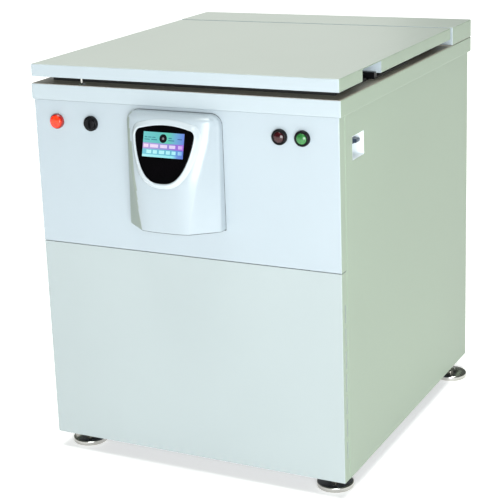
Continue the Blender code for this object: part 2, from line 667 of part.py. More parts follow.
# hand notch in the right skirt
bm = bmesh.new()
bm_box(bm, LID_HALF - 8, LID_HALF + 5, NOTCH_Y0, NOTCH_Y1 - SHEET, LID_Z0 - 5, LID_Z1 - SHEET)
boolean(lid, bm)
# notch lining: end walls and inner wall folded into the tray
NX = 288.0
t = 1.6
pts = [(LID_HALF - 1.0, NOTCH_Y0 - t), (LID_HALF - 1.0, NOTCH_Y0), (NX, NOTCH_Y0), (NX, NOTCH_Y1 - SHEET), (LID_HALF - 1.0, NOTCH_Y1 - SHEET),
       (LID_HALF - 1.0, NOTCH_Y1 - SHEET + t), (NX - t, NOTCH_Y1 - SHEET + t), (NX - t, NOTCH_Y0 - t)]
bm = bmesh.new()
bm_prism(bm, pts, 'z', LID_Z0, LID_Z1 - SHEET + 0.5)
boolean(lid, bm, 'UNION')
on_lid(lid)

# liner plate inside the tray, cut away around the notch
lx = 316.0
ly0, ly1 = 40.0, 590.0
LZ0 = LID_Z0 - 7.2
pts = [(-lx, ly0), (lx, ly0), (lx, NOTCH_Y0 - 4), (NX - 4, NOTCH_Y0 - 4), (NX - 4, NOTCH_Y1 + 2.6), (lx, NOTCH_Y1 + 2.6), (lx, ly1), (-lx, ly1)]
liner = prism("lid_liner", BLACKP, pts, 'z', LZ0, LID_Z1 - SHEET - GAP)
on_lid(liner)
# perimeter gasket under the liner
bm = bmesh.new()
gx, gy0, gy1, gw = 313.5, 42.0, 586.0, 12.0
jx, jy0, jy1 = 276.0, 198.0, 398.0            # the seal steps inwards past the side block
gz0, gz1 = DECK_Z1 + GAP, LZ0 - GAP
outer = [(-gx, gy0), (gx, gy0), (gx, jy0), (jx, jy0), (jx, jy1), (gx, jy1), (gx, gy1), (-gx, gy1)]
inner = [(-gx + gw, gy0 + gw), (gx - gw, gy0 + gw), (gx - gw, jy0 - gw), (jx - gw, jy0 - gw), (jx - gw, jy1 + gw),
         (gx - gw, jy1 + gw), (gx - gw, gy1 - gw), (-gx + gw, gy1 - gw)]
vo = [[v(bm, x, y, z) for x, y in outer] for z in (gz0, gz1)]
vi = [[v(bm, x, y, z) for x, y in inner] for z in (gz0, gz1)]
for i in range(8):
    j = (i + 1) % 8
    bm.faces.new([vo[0][i], vo[0][j], vo[1][j], vo[1][i]])
    bm.faces.new([vi[0][i], vi[1][i], vi[1][j], vi[0][j]])
    bm.faces.new([vo[0][i], vi[0][i], vi[0][j], vo[0][j]])
    bm.faces.new([vo[1][i], vo[1][j], vi[1][j], vi[1][i]])
on_lid(add("lid_gasket", bm, RUBBER))
# black latch block and its steel strip at the lid's right edge
bk = prism("lid_side_block", BLACKP,
           [(204, DECK_Z1 + 3.4), (392, DECK_Z1 + 3.4), (392, LZ0 - GAP), (NOTCH_Y1 + 2.3, LZ0 - GAP), (NOTCH_Y1 + 2.3, LID_Z0 - GAP),
            (NOTCH_Y1 - 2.6, LID_Z0 - GAP), (NOTCH_Y1 - 2.6, LID_Z0 + 2.5), (204, LID_Z0 + 2.5)], 'x', 290, 328)
on_lid(bk)
on_lid(box("lid_side_strip", STEEL, 290, 329, 203, 393, DECK_Z1 + GAP, DECK_Z1 + 3.1))
bm = bmesh.new()
bm_turn(bm, [(0, -34), (3.6, -34), (4.4, -32), (4.4, -26), (1.7, -24), (1.7, -12), (2.4, -11), (2.4, 0), (4.8, 1), (4.8, 23.6), (0, 23.6)], (STRIKER_X, STRIKER_Y, LID_Z0), 'z', 12)
pin = add("lid_striker_pin", bm, STEEL, 35)
on_lid(pin)
# bracket that ties the striker to the lid's front skirt: small plate inside the tray
# hinge: knuckles on two leaves around one long pin
KR, PR = 3.9, 1.7
NK = 5
span0, span1 = -300.0, 300.0
pitch = (span1 - span0) / NK


def knuckles(name, material, odd, leaf_pts):
    ob = None
    for k in range(NK):
        if (k % 2 == 1) != odd:
            continue
        a0 = span0 + k * pitch + 0.3
        a1 = span0 + (k + 1) * pitch - 0.3
        bm = bmesh.new()
        bm_turn(bm, [(PR + 0.12, a0), (KR, a0), (KR, a1), (PR + 0.12, a1)], (0, HINGE_Y, HINGE_Z), 'x', 12, True)
        if ob is None:
            ob = add(name, bm, material, 35)
        else:
            boolean(ob, bm, 'UNION')
        bm = bmesh.new()
        bm_prism(bm, leaf_pts, 'x', a0, a1)
        boolean(ob, bm, 'UNION')
    return ob


# each knuckle is joined to its leaf; the leaf's strip runs the whole length
leaf_fix = knuckles("hinge_leaf_fixed", ZINC, False,
                    [(HINGE_Y + 2.6, HINGE_Z - 12), (COVER_Y0 - GAP, HINGE_Z - 12), (COVER_Y0 - GAP, HINGE_Z + 1), (HINGE_Y + 2.6, HINGE_Z + 1)])
bm = bmesh.new()
bm_box(bm, span0, span1, HINGE_Y + 2.7, COVER_Y0 - GAP, HINGE_Z - 30, HINGE_Z - 6)
boolean(leaf_fix, bm, 'UNION')
leaf_lid = knuckles("hinge_leaf_lid", ZINC, True,
                    [(LID_Y1 + GAP, HINGE_Z - 12), (HINGE_Y - 2.6, HINGE_Z - 12), (HINGE_Y - 2.6, HINGE_Z + 1), (LID_Y1 + GAP, HINGE_Z + 1)])
bm = bmesh.new()
bm_box(bm, span0, span1, LID_Y1 + GAP, HINGE_Y - 2.7, HINGE_Z - 20, HINGE_Z - 6)
boolean(leaf_lid, bm, 'UNION')
on_lid(leaf_lid)
bm = bmesh.new()
bm_cyl(bm, PR, (0, HINGE_Y, HINGE_Z), 'x', span0 - 4, span1 + 4, 12)
add("hinge_pin", bm, STEEL, 35)

# ---- lid lock under the collar -----------------------------------------------------
bm = bmesh.new()
bm.free()
LT = DECK_Z1 - 3 - GAP
lk = box("lid_lock_unit", ZINC, -262, -196, 5.0, 28.0, LT - 26, LT)
bm = bmesh.new()
bm_cyl(bm, 7.5, (STRIKER_X, STRIKER_Y, 0), 'z', 700, 900, 12)
boolean(lk, bm)
bz0, bz1 = LID_Z0 - 23.6, LID_Z0 - 20.6
bm = bmesh.new()
bm_box(bm, -258, -190, STRIKER_Y - 4.2, STRIKER_Y + 4.2, bz0 - GAP, bz1 + GAP)
boolean(lk, bm)
# sliding bolt: at rest it is withdrawn, clear of the striker
by0, by1 = STRIKER_Y - 3.9, STRIKER_Y + 3.9
prism("lock_bolt", STEEL, [(-257.5, by0), (-236.0, by0), (-236.0, by0 + 1.6), (-241.0, by0 + 1.6), (-241.0, by1 - 1.6), (-236.0, by1 - 1.6), (-236.0, by1), (-257.5, by1)],
      'z', bz0, bz1, origin=P(-247, STRIKER_Y, (bz0 + bz1) / 2))

# ---- rotor ---------------------------------------------------------------------------
RO = P(CH_X, CH_Y, 0)
rotor_empty = bpy.data.objects.new("rotor_pivot", None)
bpy.context.scene.collection.objects.link(rotor_empty)
rotor_empty.location = RO


def on_rotor(ob):
    ob.parent = rotor_empty
    ob.matrix_parent_inverse = Matrix.Translation(-RO)
    return ob


on_rotor(turn("rotor_spindle", STEEL,
              [(0, SP0), (14, SP0), (14, 560), (22, 600), (22, 640 - GAP), (0, 640 - GAP)], c0, 'z', 16))
hub = turn("rotor_yoke", ALU, [(0, 640), (36, 640), (38, 644), (38, 716), (34, 720), (0, 720)], c0, 'z', 24)
for k in range(4):
    a = math.radians(90 * k)
    base_pts = [(14.8, 34.6), (58, 84), (58, 122), (62, 126), (72, 126), (126, 72), (126, 62), (122, 58), (84, 58), (34.6, 14.8), (10, 10)]
    # the arm fills the corner between two buckets
    pts = []
    for x_, y_ in base_pts:
        pts.append((CH_X + x_ * math.cos(a) - y_ * math.sin(a), CH_Y + x_ * math.sin(a) + y_ * math.cos(a)))
    bm = bmesh.new()
    bm_prism(bm, pts, 'z', 670, 710)
    boolean(hub, bm, 'UNION')
for k in range(4):
    a = math.radians(90 * k)
    for s in (-1, 1):
        bm = bmesh.new()
        # pin from the arm's face to the bucket's lug
        n_ = 8
        ring0, ring1 = [], []
        for i in range(n_):
            t_ = 2 * math.pi * i / n_
            lx_, lz_ = PIVOT_R + 5.0 * math.cos(t_), PIVOT_Z + 5.0 * math.sin(t_)
            for ring, ly_ in ((ring0, s * 62.0), (ring1, s * 51.0)):
                ring.append(v(bm, CH_X + lx_ * math.cos(a) - ly_ * math.sin(a), CH_Y + lx_ * math.sin(a) + ly_ * math.cos(a), lz_))
        bm.faces.new(ring0)
        bm.faces.new(list(reversed(ring1)))
        for i in range(n_):
            j = (i + 1) % n_
            bm.faces.new([ring0[i], ring1[i], ring1[j], ring0[j]])
        boolean(hub, bm, 'UNION')
on_rotor(hub)
on_rotor(turn("rotor_knob", BLACKP, [(0, 720 + GAP), (16, 720 + GAP), (16, 724), (24, 727), (24, 738), (20, 742), (0, 742)], c0, 'z', 16))

for k in range(4):
    a = math.radians(90 * k)
    cx, cy = CH_X + PIVOT_R * math.cos(a), CH_Y + PIVOT_R * math.sin(a)
    z0 = PIVOT_Z - BUCKET_H
    zt = PIVOT_Z + 16
    bk = turn("bucket_%d" % (k + 1), STAIN,
              [(0, z0), (BUCKET_R - 10, z0), (BUCKET_R, z0 + 10), (BUCKET_R, zt), (BUCKET_R - 3, zt),
               (BUCKET_R - 3, z0 + 12), (BUCKET_R - 11, z0 + 4), (0, z0 + 4)], (cx, cy, 0), 'z', 20)
    for s in (-1, 1):
        # lug: an inverted U that hangs on the pin
        out = [(-12, -12), (-5.4, -12), (-5.4, 0)]
        out += [(5.4 * math.cos(math.radians(180 - 45 * i)), 5.4 * math.sin(math.radians(180 - 45 * i))) for i in range(1, 4)]
        out += [(5.4, 0), (5.4, -12), (12, -12), (12, 8), (8, 12), (-8, 12), (-12, 8)]
        bm = bmesh.new()
        ya, yb = (50.6, 56.6)
        lo, hi = [], []
        for (ox, oz) in out:
            for ring, yy in ((lo, s * 48.2), (hi, s * yb)):
                lx_, ly_ = PIVOT_R + ox, yy
                ring.append(v(bm, CH_X + lx_ * math.cos(a) - ly_ * math.sin(a), CH_Y + lx_ * math.sin(a) + ly_ * math.cos(a), PIVOT_Z + oz))
        bm.faces.new(lo)
        bm.faces.new(list(reversed(hi)))
        m_ = len(out)
        for i in range(m_):
            j = (i + 1) % m_
            bm.faces.new([lo[i], hi[i], hi[j], lo[j]])
        boolean(bk, bm, 'UNION')
    bo = P(cx, cy, PIVOT_Z)
    bk.data.transform(Matrix.Translation(-bo))
    bk.parent = rotor_empty
    bk.matrix_parent_inverse = Matrix.Translation(-RO)
    bk.location = bo
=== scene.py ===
import json
import math

import bpy
import bmesh
from mathutils import Vector, Matrix


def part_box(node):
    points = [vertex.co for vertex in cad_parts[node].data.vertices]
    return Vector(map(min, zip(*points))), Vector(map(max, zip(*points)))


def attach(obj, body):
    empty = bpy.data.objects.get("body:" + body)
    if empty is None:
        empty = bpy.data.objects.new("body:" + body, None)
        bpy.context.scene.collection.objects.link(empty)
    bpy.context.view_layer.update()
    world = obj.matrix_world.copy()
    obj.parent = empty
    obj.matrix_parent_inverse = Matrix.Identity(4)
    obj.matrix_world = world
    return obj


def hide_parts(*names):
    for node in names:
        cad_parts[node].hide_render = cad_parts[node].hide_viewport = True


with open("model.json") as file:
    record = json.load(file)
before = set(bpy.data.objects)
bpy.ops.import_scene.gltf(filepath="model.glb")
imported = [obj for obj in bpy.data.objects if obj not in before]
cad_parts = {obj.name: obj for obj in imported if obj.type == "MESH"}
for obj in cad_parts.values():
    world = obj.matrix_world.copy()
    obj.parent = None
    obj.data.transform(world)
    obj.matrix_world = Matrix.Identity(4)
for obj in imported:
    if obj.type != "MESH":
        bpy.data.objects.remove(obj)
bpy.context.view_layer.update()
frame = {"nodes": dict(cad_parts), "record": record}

MM = 0.001
sc = bpy.context.scene
sc.view_settings.view_transform = 'Standard'
sc.view_settings.look = 'None'

# positions follow the CAD frame
deck_lo, deck_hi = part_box("top_deck")
YC = -deck_lo[1] / MM
HALF_W = deck_hi[0] / MM
DEPTH = (deck_hi[1] - deck_lo[1]) / MM
DECK_Z0, DECK_Z1 = deck_lo[2] / MM, deck_hi[2] / MM
lid_lo, lid_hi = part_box("lid_shell")
LID_Z0, LID_Z1 = lid_lo[2] / MM, lid_hi[2] / MM
LID_Y1 = lid_hi[1] / MM + YC
pod_lo, pod_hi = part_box("pod_housing")
POD_X = (pod_lo[0] + pod_hi[0]) / 2 / MM
POD_HALF = (pod_hi[0] - pod_lo[0]) / 2 / MM
POD_Z0, POD_Z1 = pod_lo[2] / MM, pod_hi[2] / MM
POD_BACK = pod_hi[1] / MM + YC
LID_HALF = lid_hi[0] / MM
PLANE_D, PLANE_Z, TILT, POD_FULL = 47.0, 720.0, 0.26, 66.0
SH_Z, SH_FOOT = 691.3, 54.4
FRONT_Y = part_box("upper_front_panel")[0][1] / MM + YC
FRONT_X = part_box("upper_front_panel")[1][0] / MM
SIDE_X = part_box("side_panel_right")[1][0] / MM
SEAM_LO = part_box("lower_front_panel")[1][2] / MM
SEAM_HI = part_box("upper_front_panel")[0][2] / MM
CAB_Z0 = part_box("side_panel_right")[0][2] / MM
SHEET = 2.0


def P(x, y, z):
    return Vector((x * MM, (y - YC) * MM, z * MM))


def lin(r, g, b):
    def c(v):
        v /= 255.0
        return v / 12.92 if v <= 0.04045 else ((v + 0.055) / 1.055) ** 2.4
    return (c(r), c(g), c(b), 1.0)


KEY_W, SUN_W, FLOOR_E = 194.0, 2.15, 0.50      # studio light levels

# ------------------------------------------------------------------ materials
_m = {}


def new_mat(name):
    m = bpy.data.materials.new(name)
    m.use_nodes = True
    nt = m.node_tree
    b = nt.nodes["Principled BSDF"]
    _m[name] = m
    return m, nt, b


def noise(nt, scale, detail=3.0, rough=0.5, stretch=None, coord="Object"):
    tc = nt.nodes.new("ShaderNodeTexCoord")
    src = tc.outputs[coord]
    if stretch:
        mp = nt.nodes.new("ShaderNodeMapping")
        mp.inputs["Scale"].default_value = stretch
        nt.links.new(src, mp.inputs["Vector"])
        src = mp.outputs["Vector"]
    n = nt.nodes.new("ShaderNodeTexNoise")
    n.inputs["Scale"].default_value = scale
    n.inputs["Detail"].default_value = detail
    n.inputs["Roughness"].default_value = rough
    nt.links.new(src, n.inputs["Vector"])
    return n


def ramp(nt, src, stops):
    r = nt.nodes.new("ShaderNodeValToRGB")
    el = r.color_ramp.elements
    while len(el) > 1:
        el.remove(el[-1])
    el[0].position = stops[0][0]
    el[0].color = stops[0][1]
    for p, c in stops[1:]:
        e = el.new(p)
        e.color = c
    nt.links.new(src, r.inputs["Fac"])
    return r


def maprange(nt, src, a, b):
    r = nt.nodes.new("ShaderNodeMapRange")
    r.inputs["From Min"].default_value = 0.3
    r.inputs["From Max"].default_value = 0.7
    r.inputs["To Min"].default_value = a
    r.inputs["To Max"].default_value = b
    nt.links.new(src, r.inputs["Value"])
    return r


def bump(nt, b, src, strength, dist):
    n = nt.nodes.new("ShaderNodeBump")
    n.inputs["Strength"].default_value = strength
    n.inputs["Distance"].default_value = dist
    nt.links.new(src, n.inputs["Height"])
    nt.links.new(n.outputs["Normal"], b.inputs["Normal"])
    return n


def surface(name, col, col2=None, rough=(0.4, 0.5), metal=0.0, vary=6.0, grain=900.0, bump_s=0.08, bump_d=0.0002,
            coat=0.0, coat_r=0.1, stretch=None, spec=0.5, emit=None, emit_s=0.0, edge=None):
    """One procedural surface: broad colour drift, fine grain in roughness and relief."""
    if name in _m:
        return _m[name]
    m, nt, b = new_mat(name)
    col2 = col2 or tuple(min(1.0, c * 0.94) for c in col[:3]) + (1.0,)
    n1 = noise(nt, vary, 2.0)
    r1 = ramp(nt, n1.outputs["Fac"], [(0.3, col), (0.7, col2)])
    nt.links.new(r1.outputs["Color"], b.inputs["Base Color"])
    n2 = noise(nt, grain, 3.0, 0.6, stretch)
    mr = maprange(nt, n2.outputs["Fac"], rough[0], rough[1])
    nt.links.new(mr.outputs["Result"], b.inputs["Roughness"])
    b.inputs["Metallic"].default_value = metal
    b.inputs["Specular IOR Level"].default_value = spec
    if bump_s:
        bump(nt, b, n2.outputs["Fac"], bump_s, bump_d)
    if coat:
        b.inputs["Coat Weight"].default_value = coat
        b.inputs["Coat Roughness"].default_value = coat_r
    if emit:
        b.inputs["Emission Color"].default_value = emit
        b.inputs["Emission Strength"].default_value = emit_s
    return m


PAINT = surface("powder_coat_front", lin(169, 178, 179), lin(166, 175, 176), (0.34, 0.44), vary=2.5, grain=700, bump_s=0.10, bump_d=0.00025, coat=0.15, coat_r=0.25)
PAINT_UP = surface("powder_coat_upper", lin(173, 183, 190), lin(170, 180, 187), (0.34, 0.44), vary=2.5, grain=700, bump_s=0.10, bump_d=0.00025, coat=0.15, coat_r=0.25)
# The rim, side and lid coats are copies of one white paint by facing, tuned as painted light and shade: the rim coat
# for front faces of the lid, collar and rear cover, the side coat darker and greener as painted shade on side faces,
# the lid coat for top faces.
PAINT_FRONT_LIT = surface("powder_coat_front_painted_light", lin(177, 187, 193), lin(174, 184, 190), (0.34, 0.44), vary=2.5, grain=700, bump_s=0.10, bump_d=0.00025, coat=0.15, coat_r=0.25)
# The deck coat is painted shade: a darker, warmer copy of the white paint for the collar top, which lies in the lid's
# shadow.
DECK_TOP_SHADE = surface("deck_top_painted_shade", lin(182, 174, 160), lin(176, 168, 155), (0.4, 0.5), vary=4, grain=700, bump_s=0.10, bump_d=0.00025)
PAINT_SIDE_SHADE = surface("powder_coat_side_painted_shade", lin(151, 167, 147), lin(148, 163, 144), (0.36, 0.46), vary=2.0, grain=700, bump_s=0.10, bump_d=0.00025, coat=0.12, coat_r=0.28)
PAINT_TOP_LIT = surface("powder_coat_top_painted_light", lin(206, 214, 206), lin(202, 210, 202), (0.34, 0.44), vary=2.0, grain=700, bump_s=0.10, bump_d=0.00025, coat=0.15, coat_r=0.25)
POD = surface("pod_moulding", lin(170, 180, 187), lin(167, 177, 184), (0.26, 0.34), vary=5, grain=1600, bump_s=0.05, bump_d=0.0001, coat=0.2, coat_r=0.15)
# The edge and underside mouldings are painted shade: darker copies of the pod colour for left-facing and
# downward-facing faces.
POD_SHADE = surface("pod_left_painted_shade", lin(142, 153, 143), lin(138, 149, 139), (0.3, 0.4), vary=5, grain=1600, bump_s=0.05, bump_d=0.0001)
POD_UNDER_SHADE = surface("pod_underside_painted_shade", lin(66, 70, 68), lin(58, 62, 60), (0.5, 0.6), vary=5, grain=1600, bump_s=0.05, bump_d=0.0001)
FRAME_W = surface("window_frame_white", lin(188, 196, 201), lin(184, 192, 197), (0.18, 0.26), vary=8, grain=1600, bump_s=0.03, bump_d=0.00008, coat=0.35, coat_r=0.08)
WINDOW = surface("window_gloss_black", (0.001, 0.001, 0.0012, 1), (0.0018, 0.0014, 0.002, 1), (0.06, 0.10), vary=20, grain=60, bump_s=0.01, bump_d=0.00005, coat=0.06, coat_r=0.03, spec=0.06)
BLACK = surface("black_moulding", (0.004, 0.004, 0.005, 1), (0.007, 0.007, 0.008, 1), (0.25, 0.36), vary=30, grain=1500, bump_s=0.06, bump_d=0.0001, coat=0.04, coat_r=0.12, spec=0.12)
BLACK_MATT = surface("black_liner", (0.012, 0.012, 0.012, 1), (0.018, 0.018, 0.018, 1), (0.5, 0.65), vary=20, grain=1200, bump_s=0.15, bump_d=0.0003)
RUBBER = surface("seal_rubber_look", (0.015, 0.015, 0.015, 1), (0.022, 0.022, 0.021, 1), (0.62, 0.8), vary=30, grain=1400, bump_s=0.2, bump_d=0.0003)
STEEL = surface("polished_steel", (0.60, 0.59, 0.56, 1), (0.50, 0.49, 0.46, 1), (0.14, 0.26), metal=1.0, vary=25, grain=300, bump_s=0.05, bump_d=0.0002, stretch=(1, 1, 12))
BRUSHED = surface("brushed_stainless", (0.62, 0.63, 0.64, 1), (0.55, 0.56, 0.57, 1), (0.26, 0.42), metal=1.0, vary=8, grain=220, bump_s=0.08, bump_d=0.0002, stretch=(1, 1, 14))
ALLOY = surface("rotor_anodised", (0.50, 0.52, 0.55, 1), (0.42, 0.44, 0.47, 1), (0.3, 0.42), metal=1.0, vary=14, grain=500, bump_s=0.06, bump_d=0.0002)
ZINC = surface("zinc_plating", (0.50, 0.52, 0.54, 1), (0.40, 0.43, 0.46, 1), (0.34, 0.5), metal=1.0, vary=60, grain=260, bump_s=0.06, bump_d=0.0002)
MACHINE = surface("machine_enamel", (0.05, 0.06, 0.075, 1), (0.035, 0.042, 0.055, 1), (0.35, 0.5), vary=14, grain=500, bump_s=0.15, bump_d=0.0004)
COPPER = surface("drawn_copper", (0.70, 0.33, 0.20, 1), (0.55, 0.24, 0.14, 1), (0.25, 0.42), metal=1.0, vary=40, grain=300)
FOAM = surface("cell_foam", (0.05, 0.05, 0.055, 1), (0.08, 0.08, 0.085, 1), (0.8, 0.95), vary=120, grain=600, bump_s=0.5, bump_d=0.001)
BREAKER_W = surface("breaker_moulding", lin(238, 243, 246), lin(230, 236, 240), (0.35, 0.45), vary=30, grain=1500, bump_s=0.05, bump_d=0.0001)
BREAKER_B = surface("breaker_lever_blue", lin(16, 42, 66), lin(10, 30, 52), (0.28, 0.4), vary=40, grain=1500, bump_s=0.05, bump_d=0.0001, coat=0.3)


def lens(name, c1, c2, emit, es, trans=0.0):
    m, nt, b = new_mat(name)
    n1 = noise(nt, 260, 2.0)
    r1 = ramp(nt, n1.outputs["Fac"], [(0.35, c1), (0.65, c2)])
    nt.links.new(r1.outputs["Color"], b.inputs["Base Color"])
    # Lens colour also glows by emission at strength es: painted light that lifts the lens colour.
    nt.links.new(r1.outputs["Color"], b.inputs["Emission Color"])
    b.inputs["Emission Strength"].default_value = es
    n2 = noise(nt, 900, 2.0)
    mr = maprange(nt, n2.outputs["Fac"], 0.10, 0.2)
    nt.links.new(mr.outputs["Result"], b.inputs["Roughness"])
    b.inputs["Coat Weight"].default_value = 0.2
    b.inputs["Coat Roughness"].default_value = 0.2
    bump(nt, b, n2.outputs["Fac"], 0.02, 0.0001)
    return m


# The red lens glows brightest as a lit button, partly real light and partly painted light; the small maroon, green and
# rim glows are painted light.
RED_L = lens("red_lens_look", lin(255, 58, 20), lin(225, 30, 12), None, 0.55)
RED_D = lens("red_lens_rim", lin(120, 12, 10), lin(90, 6, 8), None, 0.05)
DRED_L = lens("maroon_lens_look", lin(62, 6, 14), lin(38, 2, 8), None, 0.06)
GREEN_L = lens("green_lens_look", lin(52, 122, 58), lin(38, 100, 46), None, 0.12)

# CAD cabinet pieces and unmapped pieces take the side coat, the painted shade copy of the white paint.
SLOT_LOOK = {
    "cabinet_white": PAINT_SIDE_SHADE, "lid_white": PAINT_TOP_LIT, "pod_white": POD, "black_plastic": BLACK, "window_black": WINDOW,
    "seal_rubber": RUBBER, "bright_steel": STEEL, "stainless": BRUSHED, "rotor_alloy": ALLOY, "machine_paint": MACHINE,
    "zinc_plate": ZINC, "coil_copper": COPPER, "foam_insulation": FOAM, "red_lens": RED_L, "dark_red_lens": DRED_L,
    "green_lens": GREEN_L, "breaker_blue": BREAKER_B, "breaker_white": BREAKER_W, "lcd_screen": WINDOW,
}
NODE_SLOT = {s["node"]: s["material_slot"] for s in frame["record"]["subparts"]}
for n, o in frame["nodes"].items():
    look = SLOT_LOOK.get(NODE_SLOT.get(n), PAINT_SIDE_SHADE)
    if n in ("upper_front_panel", "lower_front_panel"):
        look = PAINT
    if n == "lid_liner":
        look = BLACK_MATT
    if not o.material_slots:
        o.data.materials.append(look)
    for s in o.material_slots:
        s.material = look


# ------------------------------------------------------------------ mesh helpers
def link(name, me, mat, smooth=None):
    ob = bpy.data.objects.new(name, me)
    sc.collection.objects.link(ob)
    for mm in (mat if isinstance(mat, (list, tuple)) else [mat]):
        me.materials.append(mm)
    if smooth is not None:
        me.shade_smooth()
        me.set_sharp_from_angle(angle=math.radians(smooth))
    return ob


def from_bm(name, bm, mat, smooth=35):
    bmesh.ops.recalc_face_normals(bm, faces=bm.faces)
    me = bpy.data.meshes.new(name)
    bm.to_mesh(me)
    bm.free()
    return link(name, me, mat, smooth)


def v(bm, x, y, z):
    return bm.verts.new(P(x, y, z))


def bm_box(bm, x0, x1, y0, y1, z0, z1):
    vs = [v(bm, x, y, z) for z in (z0, z1) for y in (y0, y1) for x in (x0, x1)]
    for f in ((0, 2, 3, 1), (4, 5, 7, 6), (0, 1, 5, 4), (2, 6, 7, 3), (0, 4, 6, 2), (1, 3, 7, 5)):
        bm.faces.new([vs[i] for i in f])
    return vs


def bm_prism(bm, pts, axis, a, b):
    def pt(p, t):
        if axis == 'x':
            return v(bm, t, p[0], p[1])
        if axis == 'y':
            return v(bm, p[0], t, p[1])
        return v(bm, p[0], p[1], t)
    lo = [pt(p, a) for p in pts]
    hi = [pt(p, b) for p in pts]
    n = len(pts)
    bm.faces.new(lo)
    bm.faces.new(list(reversed(hi)))
    for i in range(n):
        bm.faces.new([lo[i], hi[i], hi[(i + 1) % n], lo[(i + 1) % n]])


def bm_turn(bm, prof, c, axis='z', seg=64, closed=False, frac=None):
    cx, cy, cz = c

    def place(r, a, h):
        if axis == 'z':
            return v(bm, cx + r * math.cos(a), cy + r * math.sin(a), cz + h)
        if axis == 'y':
            return v(bm, cx + r * math.cos(a), cy + h, cz + r * math.sin(a))
        return v(bm, cx + h, cy + r * math.cos(a), cz + r * math.sin(a))
    rings = []
    for r, h in prof:
        rings.append([place(0, 0, h)] if r < 1e-6 else [place(r, 2 * math.pi * i / seg, h) for i in range(seg)])
    n = len(prof)
    for k in range(n if closed else n - 1):
        A, B = rings[k], rings[(k + 1) % n]
        for i in range(seg):
            j = (i + 1) % seg
            if len(A) == 1 and len(B) == 1:
                continue
            if len(A) == 1:
                bm.faces.new([A[0], B[i], B[j]])
            elif len(B) == 1:
                bm.faces.new([A[i], B[0], A[j]])
            else:
                bm.faces.new([A[i], B[i], B[j], A[j]])


def turn(name, mat, prof, c, axis='z', seg=64, closed=False, smooth=32):
    bm = bmesh.new()
    bm_turn(bm, prof, c, axis, seg, closed)
    return from_bm(name, bm, mat, smooth)


def boolean(ob, bm, op='DIFFERENCE'):
    bmesh.ops.recalc_face_normals(bm, faces=bm.faces)
    me = bpy.data.meshes.new("cut")
    bm.to_mesh(me)
    bm.free()
    c = bpy.data.objects.new("cut", me)
    sc.collection.objects.link(c)
    m = ob.modifiers.new("b", 'BOOLEAN')
    m.operation = op
    m.solver = 'EXACT'
    m.object = c
    apply_mods(ob)
    bpy.data.objects.remove(c, do_unlink=True)
    return ob


def apply_mods(ob):
    bpy.context.view_layer.update()
    dg = bpy.context.evaluated_depsgraph_get()
    me = bpy.data.meshes.new_from_object(ob.evaluated_get(dg))
    ob.modifiers.clear()
    old = ob.data
    ob.data = me
    me.name = ob.name
    bpy.data.meshes.remove(old)


def soften(ob, width, seg=3, angle=32, smooth=True):
    """Round every hard edge by a small radius, with normals that keep the flats flat."""
    b = ob.modifiers.new("bevel", 'BEVEL')
    b.width = width * MM
    b.segments = seg
    b.limit_method = 'ANGLE'
    b.angle_limit = math.radians(angle)
    b.harden_normals = False
    b.use_clamp_overlap = True
    apply_mods(ob)
    ob.data.shade_smooth()
    ob.data.set_sharp_from_angle(angle=math.radians(50))
    w = ob.modifiers.new("wn", 'WEIGHTED_NORMAL')
    w.keep_sharp = True
    apply_mods(ob)
    return ob


def rounded_path(pts, rad, n=5, closed=False):
    """Replace the corners of a polyline by smooth arcs; every corner gets n points."""
    out = []
    m = len(pts)
    rng = range(m) if closed else range(1, m - 1)
    if not closed:
        out.append(pts[0])
    for i in rng:
        a, b, c = Vector(pts[i - 1]), Vector(pts[i]), Vector(pts[(i + 1) % m])
        r = rad[i] if isinstance(rad, (list, tuple)) else rad
        d1, d2 = (a - b), (c - b)
        la, lc = d1.length, d2.length
        k = min(r, la * 0.48, lc * 0.48)
        p0 = b + d1 / la * k if la > 1e-9 else b
        p2 = b + d2 / lc * k if lc > 1e-9 else b
        for s in range(n):
            t = s / (n - 1)
            q = (1 - t) ** 2 * p0 + 2 * (1 - t) * t * b + t * t * p2
            out.append((q.x, q.y))
    if not closed:
        out.append(pts[-1])
    return out


def take(piece, body, *nodes, slot=None):
    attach(piece, body)
    if nodes:
        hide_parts(*nodes)
    return piece


# ------------------------------------------------------------------ camera, lights, floor
cam_d = bpy.data.cameras.new("camera")
cam_d.sensor_width = 36.0
cam_d.lens = 1429.743 * 36.0 / 500.0
cam_d.shift_x = (250.0 - 216.27) / 500.0
cam_d.shift_y = -(250.0 - 211.41) / 500.0
cam_d.clip_start = 0.05
cam = bpy.data.objects.new("camera", cam_d)
sc.collection.objects.link(cam)
AZ, EL, ROLL = 0.4861325, 0.2698122, -0.0409902
back = Vector((math.sin(AZ) * math.cos(EL), -math.cos(AZ) * math.cos(EL), math.sin(EL)))
fwd = -back
right = fwd.cross(Vector((0, 0, 1))).normalized()
up = right.cross(fwd)
r2 = math.cos(ROLL) * right + math.sin(ROLL) * up
u2 = -math.sin(ROLL) * right + math.cos(ROLL) * up
rot = Matrix((r2, u2, back)).transposed()
cam.matrix_world = Matrix.Translation(P(1334.75, -2384.13, 1317.19)) @ rot.to_4x4()
sc.camera = cam

bm = bmesh.new()
W_ = 9.0
prof = [(-W_, 0.0), (2.6, 0.0)]
for i in range(1, 13):
    a = math.pi / 2 * i / 12
    prof.append((2.6 + 1.4 * math.sin(a), 1.4 - 1.4 * math.cos(a)))
prof.append((4.0, 7.0))
